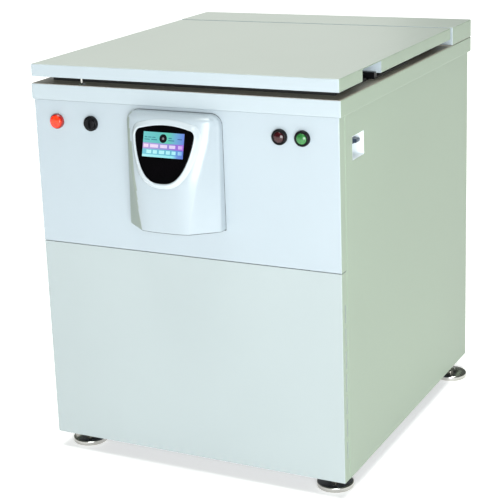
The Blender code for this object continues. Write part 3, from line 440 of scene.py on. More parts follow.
# a round sweep: floor disc only, so every side is seen against the same pale ground
seg = 96
rings = [[bm.verts.new(Vector((0, 0, -0.0002)))]]
for r in (1.5, 3.0, 6.0, 12.0, 25.0, 60.0):
    rings.append([bm.verts.new(Vector((r * math.cos(2 * math.pi * i / seg), r * math.sin(2 * math.pi * i / seg), -0.0002))) for i in range(seg)])
for k in range(len(rings) - 1):
    A, B = rings[k], rings[k + 1]
    for i in range(seg):
        j = (i + 1) % seg
        if len(A) == 1:
            bm.faces.new([A[0], B[i], B[j]])
        else:
            bm.faces.new([A[i], B[i], B[j], A[j]])
FLOOR_M = surface("studio_floor", (0.95, 0.95, 0.95, 1), (0.94, 0.94, 0.94, 1), (0.65, 0.8), vary=1.0, grain=40, bump_s=0.0, emit=(1, 1, 1, 1), emit_s=FLOOR_E)
floor = from_bm("studio_floor", bm, FLOOR_M, 30)

w = bpy.data.worlds.new("studio")
sc.world = w
w.use_nodes = True
bg = w.node_tree.nodes["Background"]
bg.inputs["Color"].default_value = (0.90, 1.0, 0.90, 1)
bg.inputs["Strength"].default_value = 0.14


def area(name, loc, target, size, power, col=(1, 1, 1), size_y=None):
    d = bpy.data.lights.new(name, 'AREA')
    d.energy = power
    d.color = col
    d.shape = 'RECTANGLE' if size_y else 'SQUARE'
    d.size = size
    if size_y:
        d.size_y = size_y
    o = bpy.data.objects.new(name, d)
    sc.collection.objects.link(o)
    o.location = loc
    o.rotation_euler = (Vector(target) - Vector(loc)).to_track_quat('-Z', 'Y').to_euler()
    return o


area("key_softbox", (2.1, -4.0, 0.95), (0, 0, 0.5), 2.6, KEY_W, (0.93, 0.98, 1.0), 2.2)
sun_d = bpy.data.lights.new("sky_wash", 'SUN')
sun_d.energy = SUN_W
sun_d.angle = math.radians(34)
sun_d.color = (0.97, 1.0, 0.97)
sun = bpy.data.objects.new("sky_wash", sun_d)
sc.collection.objects.link(sun)
sun.rotation_euler = (math.radians(2), math.radians(3), 0)
area("rear_fill", (-2.6, 4.0, 2.4), (0, 0, 0.5), 3.0, 22, (1.0, 1.0, 0.98))

def dress(ob, top, front, side):
    """Give a sheet-metal piece three copies of its paint by facing, as painted light and shade: top faces, front faces
    and side faces.
    """
    me = ob.data
    me.materials.clear()
    for mm in (top, front, side):
        me.materials.append(mm)
    for p_ in me.polygons:
        nx_, ny_, nz_ = p_.normal
        if nz_ > 0.72:
            p_.material_index = 0
        elif (abs(nx_) > abs(ny_) and abs(nx_) > 0.6) or ny_ > 0.6:
            p_.material_index = 2
        else:
            p_.material_index = 1
    return ob


# ------------------------------------------------------------------ cabinet sheet metal
BODY = "cabinet"


def rounded_box_bm(x0, x1, y0, y1, z0, z1, r, seg=4):
    bm = bmesh.new()
    bm_box(bm, x0, x1, y0, y1, z0, z1)
    bmesh.ops.recalc_face_normals(bm, faces=bm.faces)
    bmesh.ops.bevel(bm, geom=list(bm.edges), offset=r * MM, segments=seg, affect='EDGES', profile=0.5)
    return bm


# lid: folded tray with the hand notch
NOTCH_Y0, NOTCH_Y1 = 115.0, 216.0
NX = 288.0
lid = from_bm("lid_shell_fine", rounded_box_bm(-LID_HALF, LID_HALF, 0, LID_Y1, LID_Z0, LID_Z1, 2.2), PAINT_TOP_LIT, 35)
bm = bmesh.new()
bm_box(bm, -LID_HALF + SHEET, LID_HALF - SHEET, SHEET, LID_Y1 - SHEET, LID_Z0 - 5, LID_Z1 - SHEET)
boolean(lid, bm)
bm = bmesh.new()
bm_box(bm, LID_HALF - 8, LID_HALF + 5, NOTCH_Y0, NOTCH_Y1 - SHEET, LID_Z0 - 5, LID_Z1 - SHEET)
boolean(lid, bm)
t = 1.6
bm = bmesh.new()
pts = [(LID_HALF - 1.0, NOTCH_Y0 - t), (LID_HALF - 1.0, NOTCH_Y0), (NX, NOTCH_Y0), (NX, NOTCH_Y1 - SHEET), (LID_HALF - 1.0, NOTCH_Y1 - SHEET),
       (LID_HALF - 1.0, NOTCH_Y1 - SHEET + t), (NX - t, NOTCH_Y1 - SHEET + t), (NX - t, NOTCH_Y0 - t)]
bm_prism(bm, pts, 'z', LID_Z0, LID_Z1 - SHEET + 0.5)
boolean(lid, bm, 'UNION')
soften(lid, 0.5, 2)
dress(lid, PAINT_TOP_LIT, PAINT_FRONT_LIT, PAINT_SIDE_SHADE)
take(lid, "lid", "lid_shell", slot="lid_white")

# collar
deck = from_bm("top_deck_fine", rounded_box_bm(-HALF_W, HALF_W, 0, DEPTH, DECK_Z0, DECK_Z1, 2.2), PAINT_TOP_LIT, 35)
bm = bmesh.new()
bm_box(bm, -HALF_W + SHEET, HALF_W - SHEET, SHEET - 0.3, DEPTH - SHEET, DECK_Z0 - 5, DECK_Z1 - 3)
boolean(deck, bm)
BOWL_R = 224.0
CH = (0.0, 320.0)
bm = bmesh.new()
bm_turn(bm, [(0, DECK_Z0), (BOWL_R + 2, DECK_Z0), (BOWL_R + 2, DECK_Z1 + 5), (0, DECK_Z1 + 5)], (CH[0], CH[1], 0), 'z', 96)
bm_turn(bm, [(0, DECK_Z0), (7.5, DECK_Z0), (7.5, DECK_Z1 + 5), (0, DECK_Z1 + 5)], (-228, 16, 0), 'z', 32)
boolean(deck, bm)
soften(deck, 0.5, 2)
# Collar top takes the deck coat as painted shade; front and side faces take the painted light and shade copies.
dress(deck, DECK_TOP_SHADE, PAINT_FRONT_LIT, PAINT_SIDE_SHADE)
take(deck, BODY, "top_deck", slot="cabinet_white")

# rear cover
cov_lo, cov_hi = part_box("rear_cover")
cy0, cz0 = cov_lo[1] / MM + YC, cov_lo[2] / MM
cov = from_bm("rear_cover_fine", rounded_box_bm(-HALF_W, HALF_W, cy0, DEPTH, cz0, LID_Z1, 2.2), PAINT_TOP_LIT, 35)
bm = bmesh.new()
bm_box(bm, -HALF_W + SHEET, HALF_W - SHEET, cy0 + SHEET, DEPTH - SHEET, cz0 - 5, LID_Z1 - SHEET)
boolean(cov, bm)
soften(cov, 0.5, 2)
dress(cov, PAINT_TOP_LIT, PAINT_FRONT_LIT, PAINT_SIDE_SHADE)
take(cov, BODY, "rear_cover", slot="lid_white")


def tray_section(half, yo, yr, sheet, r):
    """Plan outline of a shallow tray: face, folded corners, returns."""
    outer = rounded_path([(-half, yr), (-half, yo), (half, yo), (half, yr)], r, 6)
    inner = rounded_path([(half - sheet, yr), (half - sheet, yo + sheet), (-half + sheet, yo + sheet), (-half + sheet, yr)], max(0.4, r - sheet), 4)
    return outer + inner


RETURN_Y = 26.0
up = None
for nm, z0, z1 in (("upper_front_panel", SEAM_HI - 0.5, DECK_Z0 - 0.3), ("lower_front_panel", CAB_Z0, SEAM_LO + 0.5)):
    bm = bmesh.new()
    bm_prism(bm, tray_section(FRONT_X, FRONT_Y, RETURN_Y, SHEET, 2.6), 'z', z0, z1)
    p = from_bm(nm + "_fine", bm, PAINT_UP if nm.startswith("upper") else PAINT, 35)
    bm = bmesh.new()
    if nm.startswith("upper"):
        for bx in (-283.0, -202.0, 216.0, 263.0):
            bm_turn(bm, [(0, FRONT_Y - 3), (11.5, FRONT_Y - 3), (11.5, FRONT_Y + 6), (0, FRONT_Y + 6)], (bx, 0, 730.0), 'y', 48)
        bm_box(bm, POD_X - 70, POD_X + 70, FRONT_Y - 3, FRONT_Y + 6, 600, 740)
        boolean(p, bm)
    else:
        for s in (-1, 1):
            for i in range(7):
                zc = 386.0 - 47.3 * i
                x0, x1 = sorted((s * (FRONT_X - 5), s * (FRONT_X + 3)))
                # round-ended slot
                out = [(17.4 + 1.8 * math.cos(math.radians(q)), zc + 16.95 + 1.8 * math.sin(math.radians(q))) for q in range(0, 181, 30)]
                out += [(17.4 + 1.8 * math.cos(math.radians(q)), zc - 16.95 + 1.8 * math.sin(math.radians(q))) for q in range(180, 361, 30)]
                bm_prism(bm, out, 'x', x0, x1)
        boolean(p, bm)
    soften(p, 0.45, 2)
    face = PAINT_UP if nm.startswith("upper") else PAINT
    # Side-facing returns and slot walls take the side coat: painted shade.
    dress(p, face, face, PAINT_SIDE_SHADE)
    take(p, BODY, nm, slot="cabinet_white")

# side panels with rounded folds
REAR_Y = 768.0
BRK = (61.0, 122.0, 678.0, 726.0)
for nm, s in (("side_panel_left", -1), ("side_panel_right", 1)):
    y0, y1 = RETURN_Y + 0.4, REAR_Y
    outer = rounded_path([(s * (SIDE_X - 16), y0), (s * SIDE_X, y0), (s * SIDE_X, y1), (s * (SIDE_X - 16), y1)], 2.6, 6)
    inner = rounded_path([(s * (SIDE_X - 16), y1 - SHEET), (s * (SIDE_X - SHEET), y1 - SHEET), (s * (SIDE_X - SHEET), y0 + SHEET), (s * (SIDE_X - 16), y0 + SHEET)], 0.6, 4)
    bm = bmesh.new()
    bm_prism(bm, outer + inner, 'z', CAB_Z0, DECK_Z0 - 0.3)
    # Whole side panels take the side coat, a darker, greener copy of the white paint as painted shade.
    p = from_bm(nm + "_fine", bm, PAINT_SIDE_SHADE, 35)
    if s == 1:
        bm = bmesh.new()
        bm_box(bm, SIDE_X - 6, SIDE_X + 6, BRK[0], BRK[1], BRK[2], BRK[3])
        boolean(p, bm)
    soften(p, 0.45, 2)
    take(p, BODY, nm, slot="cabinet_white")


# ------------------------------------------------------------------ control housing
def plane_depth(z):
    return PLANE_D + TILT * (PLANE_Z - z)


def pod_depth(z):
    za, zb = 662.0, 625.0
    if z > 750.0:
        q = (z - 750.0) / (POD_Z1 - 750.0)
        return 18.0 + (plane_depth(750.0) - 18.0) * math.sqrt(max(0.0, 1.0 - q * q))
    if z >= za:
        return plane_depth(z)
    if z >= zb:
        q = (za - z) / (za - zb)
        return ((2 * q ** 3 - 3 * q * q + 1) * plane_depth(za) + (q ** 3 - 2 * q * q + q) * (za - zb) * TILT
                + (-2 * q ** 3 + 3 * q * q) * POD_FULL)
    return POD_FULL - 0.5 * (zb - z) / (zb - POD_Z0)


def pod_half(z):
    r = 23.0
    if z > POD_Z1 - r:
        q = z - (POD_Z1 - r)
        return POD_HALF - r + math.sqrt(max(0.0, r * r - q * q))
    return POD_HALF


def pod_params(z):
    D, W = pod_depth(z), pod_half(z)
    q = min(1.0, max(0.0, (720.0 - z) / 185.0))
    xi = min(90.0 - 38.0 * q, W - 8.0)
    di = (0.70 + 0.22 * q) * D
    wd = min(13.0 + 5.5 * q, di - 6.0)
    return D, W, xi, di, wd, 4.0 - 0.7 * q


def pod_surface(dx, z):
    D, W, xi, di, wd, p = pod_params(z)
    q = abs(dx)
    if q <= xi:
        return di + (D - di) * (1.0 - (q / xi) ** p)
    return di + (wd + 3.0 - di) * (q - xi) / (W - 3.0 - xi)


def pod_section(z):
    """One section from left to right, its lower edge rounded by a small radius."""
    D, W, xi, di, wd, p = pod_params(z)
    dz = z - POD_Z0
    ease = 0.0 if dz >= 2.4 else 2.4 * (1 - math.sqrt(max(0.0, 1 - (1 - dz / 2.4) ** 2)))
    side = [(W, 0.0), (W, wd - 3.0), (W - 0.25, wd - 1.4), (W - 0.9, wd + 0.2), (W - 1.9, wd + 1.8), (W - 3.2, wd + 3.1)]
    n_ = 5
    x0_, d0_ = W - 3.2, wd + 3.1
    side += [(x0_ + (xi - x0_) * i / n_, d0_ + (di - d0_) * i / n_) for i in range(1, n_)]
    side += [(xi * q, di + (D - di) * (1.0 - q ** p)) for q in (1.0, 0.96, 0.92, 0.87, 0.81, 0.74, 0.65, 0.54, 0.41, 0.27, 0.13)]
    side = [(x - (ease if x > W - 4 else 0.0), max(0.0, d - (ease if d > 1 else 0.0))) for x, d in side]
    return [(-x, d) for x, d in side] + [(0.0, D - ease)] + [(x, d) for x, d in reversed(side)]


levels = [POD_Z0, POD_Z0 + 0.15, POD_Z0 + 0.5, POD_Z0 + 1.0, POD_Z0 + 1.6, POD_Z0 + 2.4]
z = POD_Z0 + 8.0
while z < 624:
    levels.append(z)
    z += 9.0
z = 625.0
while z < 662:
    levels.append(z)
    z += 3.7
z = 662.0
while z < 742:
    levels.append(z)
    z += 8.0
for i in range(21):
    a = math.pi / 2 * i / 20
    levels.append(743.0 + (POD_Z1 - 743.0) * math.sin(a))
bm = bmesh.new()
rows = [[v(bm, POD_X + x, POD_BACK - d, z) for x, d in pod_section(z)] for z in levels]
n = len(rows[0])
for A, B in zip(rows[:-1], rows[1:]):
    for i in range(n - 1):
        bm.faces.new([A[i], A[i + 1], B[i + 1], B[i]])
    bm.faces.new([A[n - 1], A[0], B[0], B[n - 1]])
bm.faces.new(rows[0])
bm.faces.new(list(reversed(rows[-1])))
pod = from_bm("control_housing_fine", bm, POD, 40)


# thin black strip around the moulding as painted shadow: a dark line where the moulding meets the panel
SHADOW_STRIP_DROP = 1.3
half_ol = [(POD_HALF + 0.35, POD_Z0 - SHADOW_STRIP_DROP), (POD_HALF + 0.35, POD_Z1 - 23)]
half_ol += [(POD_HALF - 23 + 23.35 * math.cos(math.radians(a)), POD_Z1 - 23 + 23.7 * math.sin(math.radians(a))) for a in range(6, 91, 6)]
ol = half_ol + [(-x, z) for x, z in reversed(half_ol)]
bm = bmesh.new()
bm_prism(bm, [(POD_X + x, z) for x, z in ol], 'y', POD_BACK + 0.2, POD_BACK - 0.45)
pod_shadow_strip = from_bm("housing_painted_shadow_strip", bm, RUBBER, 35)
bm = bmesh.new()
bm_box(bm, POD_X - POD_HALF + 3, POD_X + POD_HALF - 3, POD_BACK - 3, POD_BACK + 3, POD_Z0 + 3, POD_Z1 - 26)
boolean(pod_shadow_strip, bm)
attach(pod_shadow_strip, BODY)


def shield(off=0.0, fine=5):
    """Shield outline moved outwards by off: domed top, round shoulders, sides closing to a rounded foot."""
    half, shoulder, top = 64.2, 34.7, 54.4
    drop = shoulder + SH_FOOT
    rt = []
    nf = 9 * fine
    for i in range(nf, -1, -1):
        t_ = math.pi / 2 * i / nf
        rt.append((half * math.cos(t_), shoulder - drop * (1.0 - max(0.0, math.cos(t_)) ** 2.74) ** (1 / 1.4)))
    for i in range(1, 4 * fine):
        t_ = math.pi / 2 * i / (4 * fine)
        rt.append((54.2 + 10.0 * math.cos(t_), 34.9 + 11.9 * math.sin(t_)))
    for i in range(1, 3 * fine):
        x_ = 54.2 * (1 - i / (3.0 * fine))
        rt.append((x_, top - 0.0026 * x_ * x_))
    pts = rt + [(0.0, top)] + [(-x_, z_) for x_, z_ in reversed(rt[1:])]
    m = len(pts)
    out = []
    for i, (x_, z_) in enumerate(pts):
        px, pz = pts[i - 1]
        nx, nz = pts[(i + 1) % m]
        tx, tz = nx - px, nz - pz
        L = math.hypot(tx, tz)
        out.append((x_ + tz / L * off, z_ - tx / L * off))
    return out


def on_plane(bm, x, z, lift):
    return v(bm, POD_X + x, POD_BACK - plane_depth(z) - lift, z)


def on_skin(bm, x, z, lift):
    return v(bm, POD_X + x, POD_BACK - pod_surface(x, z) - lift, z)


# seat for the frame and window
bm = bmesh.new()
ol = shield(12.2, 2)
lo = [on_plane(bm, x, SH_Z + z, -10.5) for x, z in ol]
hi = [v(bm, POD_X + x, -110, SH_Z + z) for x, z in ol]
bm.faces.new(lo)
bm.faces.new(list(reversed(hi)))
for i in range(len(ol)):
    j = (i + 1) % len(ol)
    bm.faces.new([lo[i], hi[i], hi[j], lo[j]])
boolean(pod, bm)
pod.data.shade_smooth()
pod.data.set_sharp_from_angle(angle=math.radians(38))
pod.data.materials.append(POD_SHADE)
pod.data.materials.append(POD_UNDER_SHADE)
# Painted shade: downward faces take the dark underside copy, left-facing faces the darker edge copy.
for p_ in pod.data.polygons:
    if p_.normal.z < -0.38:
        p_.material_index = 2
    elif p_.normal.x < -0.42:
        p_.material_index = 1
take(pod, BODY, "pod_housing", slot="pod_white")

# frame: outer edge follows the housing, inner lip lies on the window's plane
bm = bmesh.new()
SKIN, FLAT = 0, 1
profile = [(12.0, SKIN, -2.2), (12.0, SKIN, -0.7), (11.75, SKIN, -0.25), (11.2, SKIN, 0.0), (9.8, SKIN, 0.35), (7.8, 0.35, 0.9), (6.0, 0.7, 1.6),
           (4.6, 0.95, 2.3), (3.5, FLAT, 2.6), (2.4, FLAT, 2.55), (1.4, FLAT, 2.0), (0.8, FLAT, 1.1), (0.5, FLAT, 0.2), (0.5, FLAT, -4.0), (6.0, FLAT, -9.5)]
loops = []
for off, kind, lift in profile:
    ring_ = []
    for x, z in shield(off):
        zz = SH_Z + z
        skin = min(pod_surface(x, zz), plane_depth(zz) + 0.5)
        flat = plane_depth(zz)
        ring_.append(v(bm, POD_X + x, POD_BACK - (skin * (1 - kind) + flat * kind) - lift, zz))
    loops.append(ring_)
m = len(loops[0])
for k in range(len(loops)):
    A, B = loops[k], loops[(k + 1) % len(loops)]
    for i in range(m):
        j = (i + 1) % m
        bm.faces.new([A[i], B[i], B[j], A[j]])
fr = from_bm("window_frame_fine", bm, FRAME_W, 60)
take(fr, BODY, "window_frame", slot="pod_white")

# window: flat glossy pane with a polished edge
bm = bmesh.new()
loops = []
for sc_, lift in ((1.0, -2.5), (1.0, 0.4), (0.995, 0.75), (0.985, 0.95), (0.965, 1.0)):
    loops.append([on_plane(bm, x * sc_, SH_Z + z * sc_, lift) for x, z in shield(0.15)])
for A, B in zip(loops[:-1], loops[1:]):
    for i in range(m):
        j = (i + 1) % m
        bm.faces.new([A[i], B[i], B[j], A[j]])
c = on_plane(bm, 0, SH_Z, 1.0)
for i in range(m):
    bm.faces.new([loops[-1][i], loops[-1][(i + 1) % m], c])
bm.faces.new(list(reversed(loops[0])))
win = from_bm("shield_window_fine", bm, WINDOW, 50)
take(win, BODY, "shield_window", slot="window_black")

# ------------------------------------------------------------------ display
LW, LH = 90.0, 47.0
LX, LZ = -0.5, 18.1


def scr(bm, fx, fz, lift):
    """Point on the screen: fx 0..1 from the left, fz 0..1 from the top."""
    x = LX + (fx - 0.5) * LW
    z = SH_Z + LZ + (0.5 - fz) * LH
    return on_plane(bm, x, z, lift)


def glow(name, stops, axis='x', strength=1.0, marks=None):
    """Lit screen area: a colour run across it plus a fine pixel pattern."""
    m_, nt, b = new_mat(name)
    tc = nt.nodes.new("ShaderNodeTexCoord")
    sep = nt.nodes.new("ShaderNodeSeparateXYZ")
    nt.links.new(tc.outputs["Object"], sep.inputs[0])
    mr = nt.nodes.new("ShaderNodeMapRange")
    lo_, hi_ = (POD_X + LX - LW / 2) * MM, (POD_X + LX + LW / 2) * MM
    if axis == 'z':
        lo_, hi_ = (SH_Z + LZ + LH / 2) * MM, (SH_Z + LZ - LH / 2) * MM
    mr.inputs["From Min"].default_value = lo_
    mr.inputs["From Max"].default_value = hi_
    nt.links.new(sep.outputs[0 if axis == 'x' else 2], mr.inputs["Value"])
    r = ramp(nt, mr.outputs["Result"], stops)
    n_ = noise(nt, 1100, 2.0)
    mx = nt.nodes.new("ShaderNodeMix")
    mx.data_type = 'RGBA'
    mx.blend_type = 'MULTIPLY'
    mx.inputs["Factor"].default_value = 0.22
    nt.links.new(r.outputs["Color"], mx.inputs["A"])
    rr = ramp(nt, n_.outputs["Fac"], [(0.35, (0.75, 0.75, 0.75, 1)), (0.65, (1, 1, 1, 1))])
    nt.links.new(rr.outputs["Color"], mx.inputs["B"])
    nt.links.new(mx.outputs["Result"], b.inputs["Emission Color"])
    b.inputs["Emission Strength"].default_value = strength
    b.inputs["Base Color"].default_value = (0.01, 0.01, 0.012, 1)
    b.inputs["Roughness"].default_value = 0.3
    return m_


TOPBAND = glow("screen_top", [(0.0, lin(112, 205, 205)), (0.35, lin(100, 196, 196)), (0.62, lin(96, 205, 180)), (0.8, lin(110, 175, 215)), (1.0, lin(105, 135, 225))])
MIDBAND = glow("screen_mid", [(0.0, lin(190, 165, 225)), (0.5, lin(150, 150, 215)), (0.8, lin(150, 110, 215)), (1.0, lin(165, 110, 225))])
LOWBAND = glow("screen_low", [(0.0, lin(120, 205, 220)), (0.7, lin(95, 185, 210)), (0.85, lin(95, 150, 220)), (1.0, lin(90, 120, 215))])
FOOTBAND = glow("screen_foot", [(0.0, lin(180, 248, 250)), (0.75, lin(150, 235, 245)), (0.86, lin(110, 150, 225)), (1.0, lin(95, 125, 215))])
PALE = glow("screen_pale", [(0.0, lin(250, 225, 250)), (0.8, lin(225, 215, 250)), (1.0, lin(205, 150, 240))])
PALEC = glow("screen_pale_cyan", [(0.0, lin(190, 250, 250)), (0.8, lin(175, 240, 250)), (1.0, lin(120, 165, 235))])
INK = glow("screen_ink", [(0.0, lin(40, 120, 130)), (1.0, lin(40, 70, 150))])


def tile(name, mat, fx0, fx1, fz0, fz1, lift):
    bm = bmesh.new()
    nx = max(1, int((fx1 - fx0) * 12))
    top = [[scr(bm, fx0 + (fx1 - fx0) * i / nx, fz, lift) for i in range(nx + 1)] for fz in (fz0, fz1)]
    bot = [[scr(bm, fx0 + (fx1 - fx0) * i / nx, fz, lift - 0.12) for i in range(nx + 1)] for fz in (fz0, fz1)]
    for i in range(nx):
        bm.faces.new([top[0][i], top[0][i + 1], top[1][i + 1], top[1][i]])
        bm.faces.new([bot[0][i], bot[1][i], bot[1][i + 1], bot[0][i + 1]])
        bm.faces.new([top[0][i], bot[0][i], bot[0][i + 1], top[0][i + 1]])
        bm.faces.new([top[1][i], top[1][i + 1], bot[1][i + 1], bot[1][i]])
    bm.faces.new([top[0][0], top[1][0], bot[1][0], bot[0][0]])
    bm.faces.new([top[0][nx], bot[0][nx], bot[1][nx], top[1][nx]])
    return from_bm(name, bm, mat, 30)


parts = [tile("screen_top_band", TOPBAND, 0.0, 1.0, 0.0, 0.44, 1.25),
         tile("screen_mid_band", MIDBAND, 0.0, 1.0, 0.44, 0.68, 1.25),
         tile("screen_low_band", LOWBAND, 0.0, 1.0, 0.68, 0.90, 1.25),
         tile("screen_foot_band", FOOTBAND, 0.0, 1.0, 0.90, 1.0, 1.25)]
k = 0
for fx0, fx1 in ((0.02, 0.14), (0.18, 0.38), (0.43, 0.60), (0.65, 0.80), (0.87, 0.97)):
    parts.append(tile("screen_field_%d" % k, PALE, fx0, fx1, 0.49, 0.62, 1.33))
    k += 1
for fx0, fx1 in ((0.10, 0.22), (0.26, 0.36), (0.41, 0.54), (0.58, 0.68), (0.72, 0.82), (0.87, 0.97)):
    parts.append(tile("screen_field_%d" % k, PALEC, fx0, fx1, 0.72, 0.86, 1.33))
    k += 1
for fx0, fx1, fz0, fz1 in ((0.03, 0.10, 0.20, 0.23), (0.12, 0.20, 0.20, 0.23), (0.03, 0.16, 0.29, 0.32), (0.20, 0.34, 0.29, 0.32), (0.62, 0.70, 0.20, 0.23),
                           (0.62, 0.76, 0.29, 0.32), (0.84, 0.95, 0.22, 0.25), (0.22, 0.30, 0.20, 0.23)):
    parts.append(tile("screen_mark_%d" % k, INK, fx0, fx1, fz0, fz1, 1.31))
    k += 1
# round dial
dx, dz = LX + (0.49 - 0.5) * LW, SH_Z + LZ + (0.5 - 0.24) * LH


def disc(name, mat, cx_, cz_, prof, n_=56):
    """Round piece lying on the window's plane: profile of (radius, lift) pairs."""
    bm = bmesh.new()
    loops_ = []
    for r_, l_ in prof:
        loops_.append([on_plane(bm, cx_ + r_ * math.cos(2 * math.pi * i / n_), cz_ + r_ * math.sin(2 * math.pi * i / n_), l_) for i in range(n_)])
    for A_, B_ in zip(loops_[:-1], loops_[1:]):
        for i in range(n_):
            j = (i + 1) % n_
            bm.faces.new([A_[i], B_[i], B_[j], A_[j]])
    bm.faces.new(loops_[0])
    bm.faces.new(list(reversed(loops_[-1])))
    return from_bm(name, bm, mat, 40)


dial = disc("screen_dial", BLACK, dx, dz, [(8.2, 1.2), (8.2, 1.55), (7.8, 1.75), (7.4, 1.8)])
hub = disc("screen_dial_hub", surface("dial_grey", lin(110, 110, 112), lin(90, 90, 92), (0.3, 0.4), vary=200), dx, dz, [(2.4, 1.75), (2.4, 2.0), (2.0, 2.15)])
parts += [dial, hub]
for p in parts:
    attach(p, BODY)
    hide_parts("lcd_screen")

# ------------------------------------------------------------------ buttons
BZ = 730.0


def ring(nm, mat, bx, prof, node, slot):
    r_ = turn(nm, mat, prof, (bx, FRONT_Y, BZ), 'y', 64, True, 40)
    take(r_, BODY, node, slot=slot)
    return r_


def bez(inner):
    return [(15.5, -0.3), (15.5, -5.2), (15.2, -6.3), (14.6, -7.2), (13.9, -7.8), (inner + 0.9, -8.0), (inner + 0.3, -7.7), (inner, -7.0), (inner, -1.5),
            (9.0 if inner > 9.2 else inner - 0.4, -1.4), (9.0 if inner > 9.2 else inner - 0.4, 22), (11.2, 22), (11.2, -0.3)]


RIM_RED = surface("red_rim", lin(165, 26, 18), lin(120, 14, 12), (0.2, 0.3), vary=60, grain=1400, coat=0.5, coat_r=0.08)
ring("red_bezel_fine", RIM_RED, -283.0, bez(12.9), "red_bezel", "red_lens")
ring("selector_bezel_fine", BLACK, -202.0, bez(12.6), "selector_bezel", "black_plastic")
ring("stop_bezel_fine", BLACK, 216.0, bez(10.9), "stop_bezel", "black_plastic")
ring("start_bezel_fine", BLACK, 263.0, bez(10.9), "start_bezel", "black_plastic")


def cap(nm, mat, bx, r, front, dome, body, node, slot, stem=8.0):
    prof = [(0, 20), (stem, 20), (stem, -5.1), (r, -5.1), (r, -front + 1.6), (r - 0.35, -front + 0.8), (r - 1.0, -front + 0.2)]
    n_ = 9
    for i in range(n_):
        q = 1 - (i + 1) / n_
        prof.append(((r - 1.4) * q, -front - dome * (1 - q * q)))
    o = turn(nm, mat, prof, (bx, FRONT_Y, BZ), 'y', 64, False, 32)
    take(o, body, node, slot=slot)
    return o


cap("red_button_fine", RED_L, -283.0, 12.5, 10.6, 1.5, "red_button", "red_button", "red_lens")
cap("stop_button_fine", DRED_L, 216.0, 10.5, 8.9, 2.4, "stop_button", "stop_button", "dark_red_lens")
cap("start_button_fine", GREEN_L, 263.0, 10.5, 8.9, 2.4, "start_button", "start_button", "green_lens")
sel = turn("power_selector_fine", BLACK, [(0, 20), (8, 20), (8, -2.2), (12.2, -2.2), (12.2, -9.6), (11.8, -10.6), (10.8, -11.2), (0, -11.9)],
           (-202.0, FRONT_Y, BZ), 'y', 64, False, 32)
bm = bmesh.new()
o_ = rounded_path([(-3.2, -10.4), (3.2, -10.4), (2.6, 10.4), (-2.6, 10.4)], 2.4, 4, True)
lo = [v(bm, -202.0 + x * 1.05, FRONT_Y - 10.5, BZ + z_) for x, z_ in o_]
hi = [v(bm, -202.0 + x * 0.82, FRONT_Y - 17.3, BZ + z_ * 0.94) for x, z_ in o_]
bm.faces.new(lo)
bm.faces.new(list(reversed(hi)))
for i in range(len(o_)):
    j = (i + 1) % len(o_)
    bm.faces.new([lo[i], hi[i], hi[j], lo[j]])
boolean(sel, bm, 'UNION')
soften(sel, 0.6, 3, 40)
take(sel, "selector", "power_selector", slot="black_plastic")

# ------------------------------------------------------------------ levelling feet
for nm, (fx, fy) in (("foot_front_left", (-292.0, 58.0)), ("foot_front_right", (292.0, 58.0)), ("foot_rear_left", (-322.0, 700.0)), ("foot_rear_right", (322.0, 700.0))):
    prof = [(0, 0), (36.8, 0), (37.7, 0.5), (38, 1.4), (38, 8.2), (37.6, 9.6), (36.6, 10.8), (35, 11.6), (30, 12.6), (20, 14.2), (12.6, 15.8), (11.2, 16.6), (10.4, 18.2), (9.0, 19.6), (7.2, 20.4), (6.0, 21.4)]
    h = 22.0
    while h < 27.0:
        prof += [(6.0, h), (5.4, h + 0.55), (6.0, h + 1.1)]
        h += 1.25
    prof += [(6.0, 36.7), (0, 36.7)]
    f = turn(nm + "_fine", STEEL, prof, (fx, fy, 0), 'z', 72, False, 30)
    bm = bmesh.new()
    r_o = 9.5 / math.cos(math.pi / 6)
    bm_prism(bm, [(fx + r_o * math.cos(math.pi / 3 * i), fy + r_o * math.sin(math.pi / 3 * i)) for i in range(6)], 'z', 27.6, 36.2)
    boolean(f, bm, 'UNION')
    soften(f, 0.35, 2, 40)
    take(f, BODY, nm, slot="bright_steel")

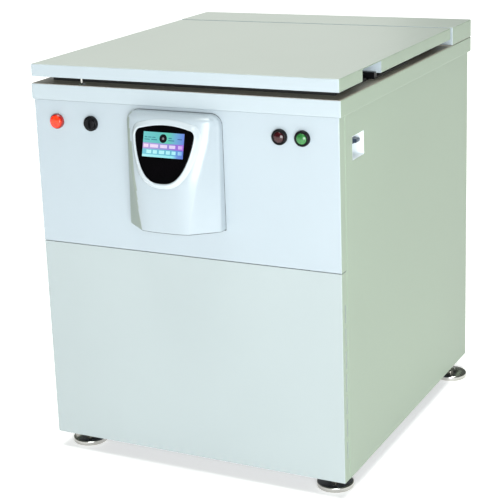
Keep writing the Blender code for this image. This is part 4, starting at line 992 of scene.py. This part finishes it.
# ------------------------------------------------------------------ breaker recess
bp_lo, bp_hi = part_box("breaker_pocket")
pk = from_bm("breaker_pocket_fine", rounded_box_bm(bp_lo[0] / MM, bp_hi[0] / MM, bp_lo[1] / MM + YC, bp_hi[1] / MM + YC, bp_lo[2] / MM, bp_hi[2] / MM, 0.6, 2), BREAKER_W, 35)
bm = bmesh.new()
bm_box(bm, bp_lo[0] / MM + 2, bp_hi[0] / MM + 5, bp_lo[1] / MM + YC + 1.5, bp_hi[1] / MM + YC - 1.5, bp_lo[2] / MM + 1.5, bp_hi[2] / MM - 1.5)
boolean(pk, bm)
soften(pk, 0.35, 2)
take(pk, BODY, "breaker_pocket", slot="breaker_white")
bb_lo, bb_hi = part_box("breaker_body")
bx0, bx1 = bb_lo[0] / MM, bb_hi[0] / MM
by0, by1 = bb_lo[1] / MM + YC, bb_hi[1] / MM + YC
bz0, bz1 = bb_lo[2] / MM, bb_hi[2] / MM
brk = from_bm("breaker_body_fine", rounded_box_bm(bx0, bx1, by0, by1, bz0, bz1, 0.8, 3), BREAKER_W, 35)
bm = bmesh.new()
bm_box(bm, bx1 - 0.8, bx1 + 3, by0 + (by1 - by0) / 2 - 0.3, by0 + (by1 - by0) / 2 + 0.3, bz0 - 1, bz1 + 1)
boolean(brk, bm)
take(brk, BODY, "breaker_body", slot="breaker_white")
tg_lo, tg_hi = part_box("breaker_toggle")
TPX, TPZ = 320.8, 707.5
ty0, ty1 = tg_lo[1] / MM + YC, tg_hi[1] / MM + YC
bm = bmesh.new()
bm_turn(bm, [(0, ty0), (5.5, ty0), (6.0, ty0 + 0.5), (6.0, ty1 - 0.5), (5.5, ty1), (0, ty1)], (TPX, 0, TPZ), 'y', 40)
tg = from_bm("breaker_toggle_fine", bm, BREAKER_B, 35)
bm = bmesh.new()
bm_prism(bm, rounded_path([(TPX - 1, TPZ - 3.4), (TPX + 10.5, TPZ - 3.4), (TPX + 10.5, TPZ + 4.6), (TPX - 1, TPZ + 4.6)], [0.3, 3.0, 3.0, 0.3], 6, True), 'y', ty0 + 0.5, ty1 - 0.5)
boolean(tg, bm, 'UNION')
soften(tg, 0.3, 2, 40)
take(tg, "breaker_lever", "breaker_toggle", slot="breaker_blue")
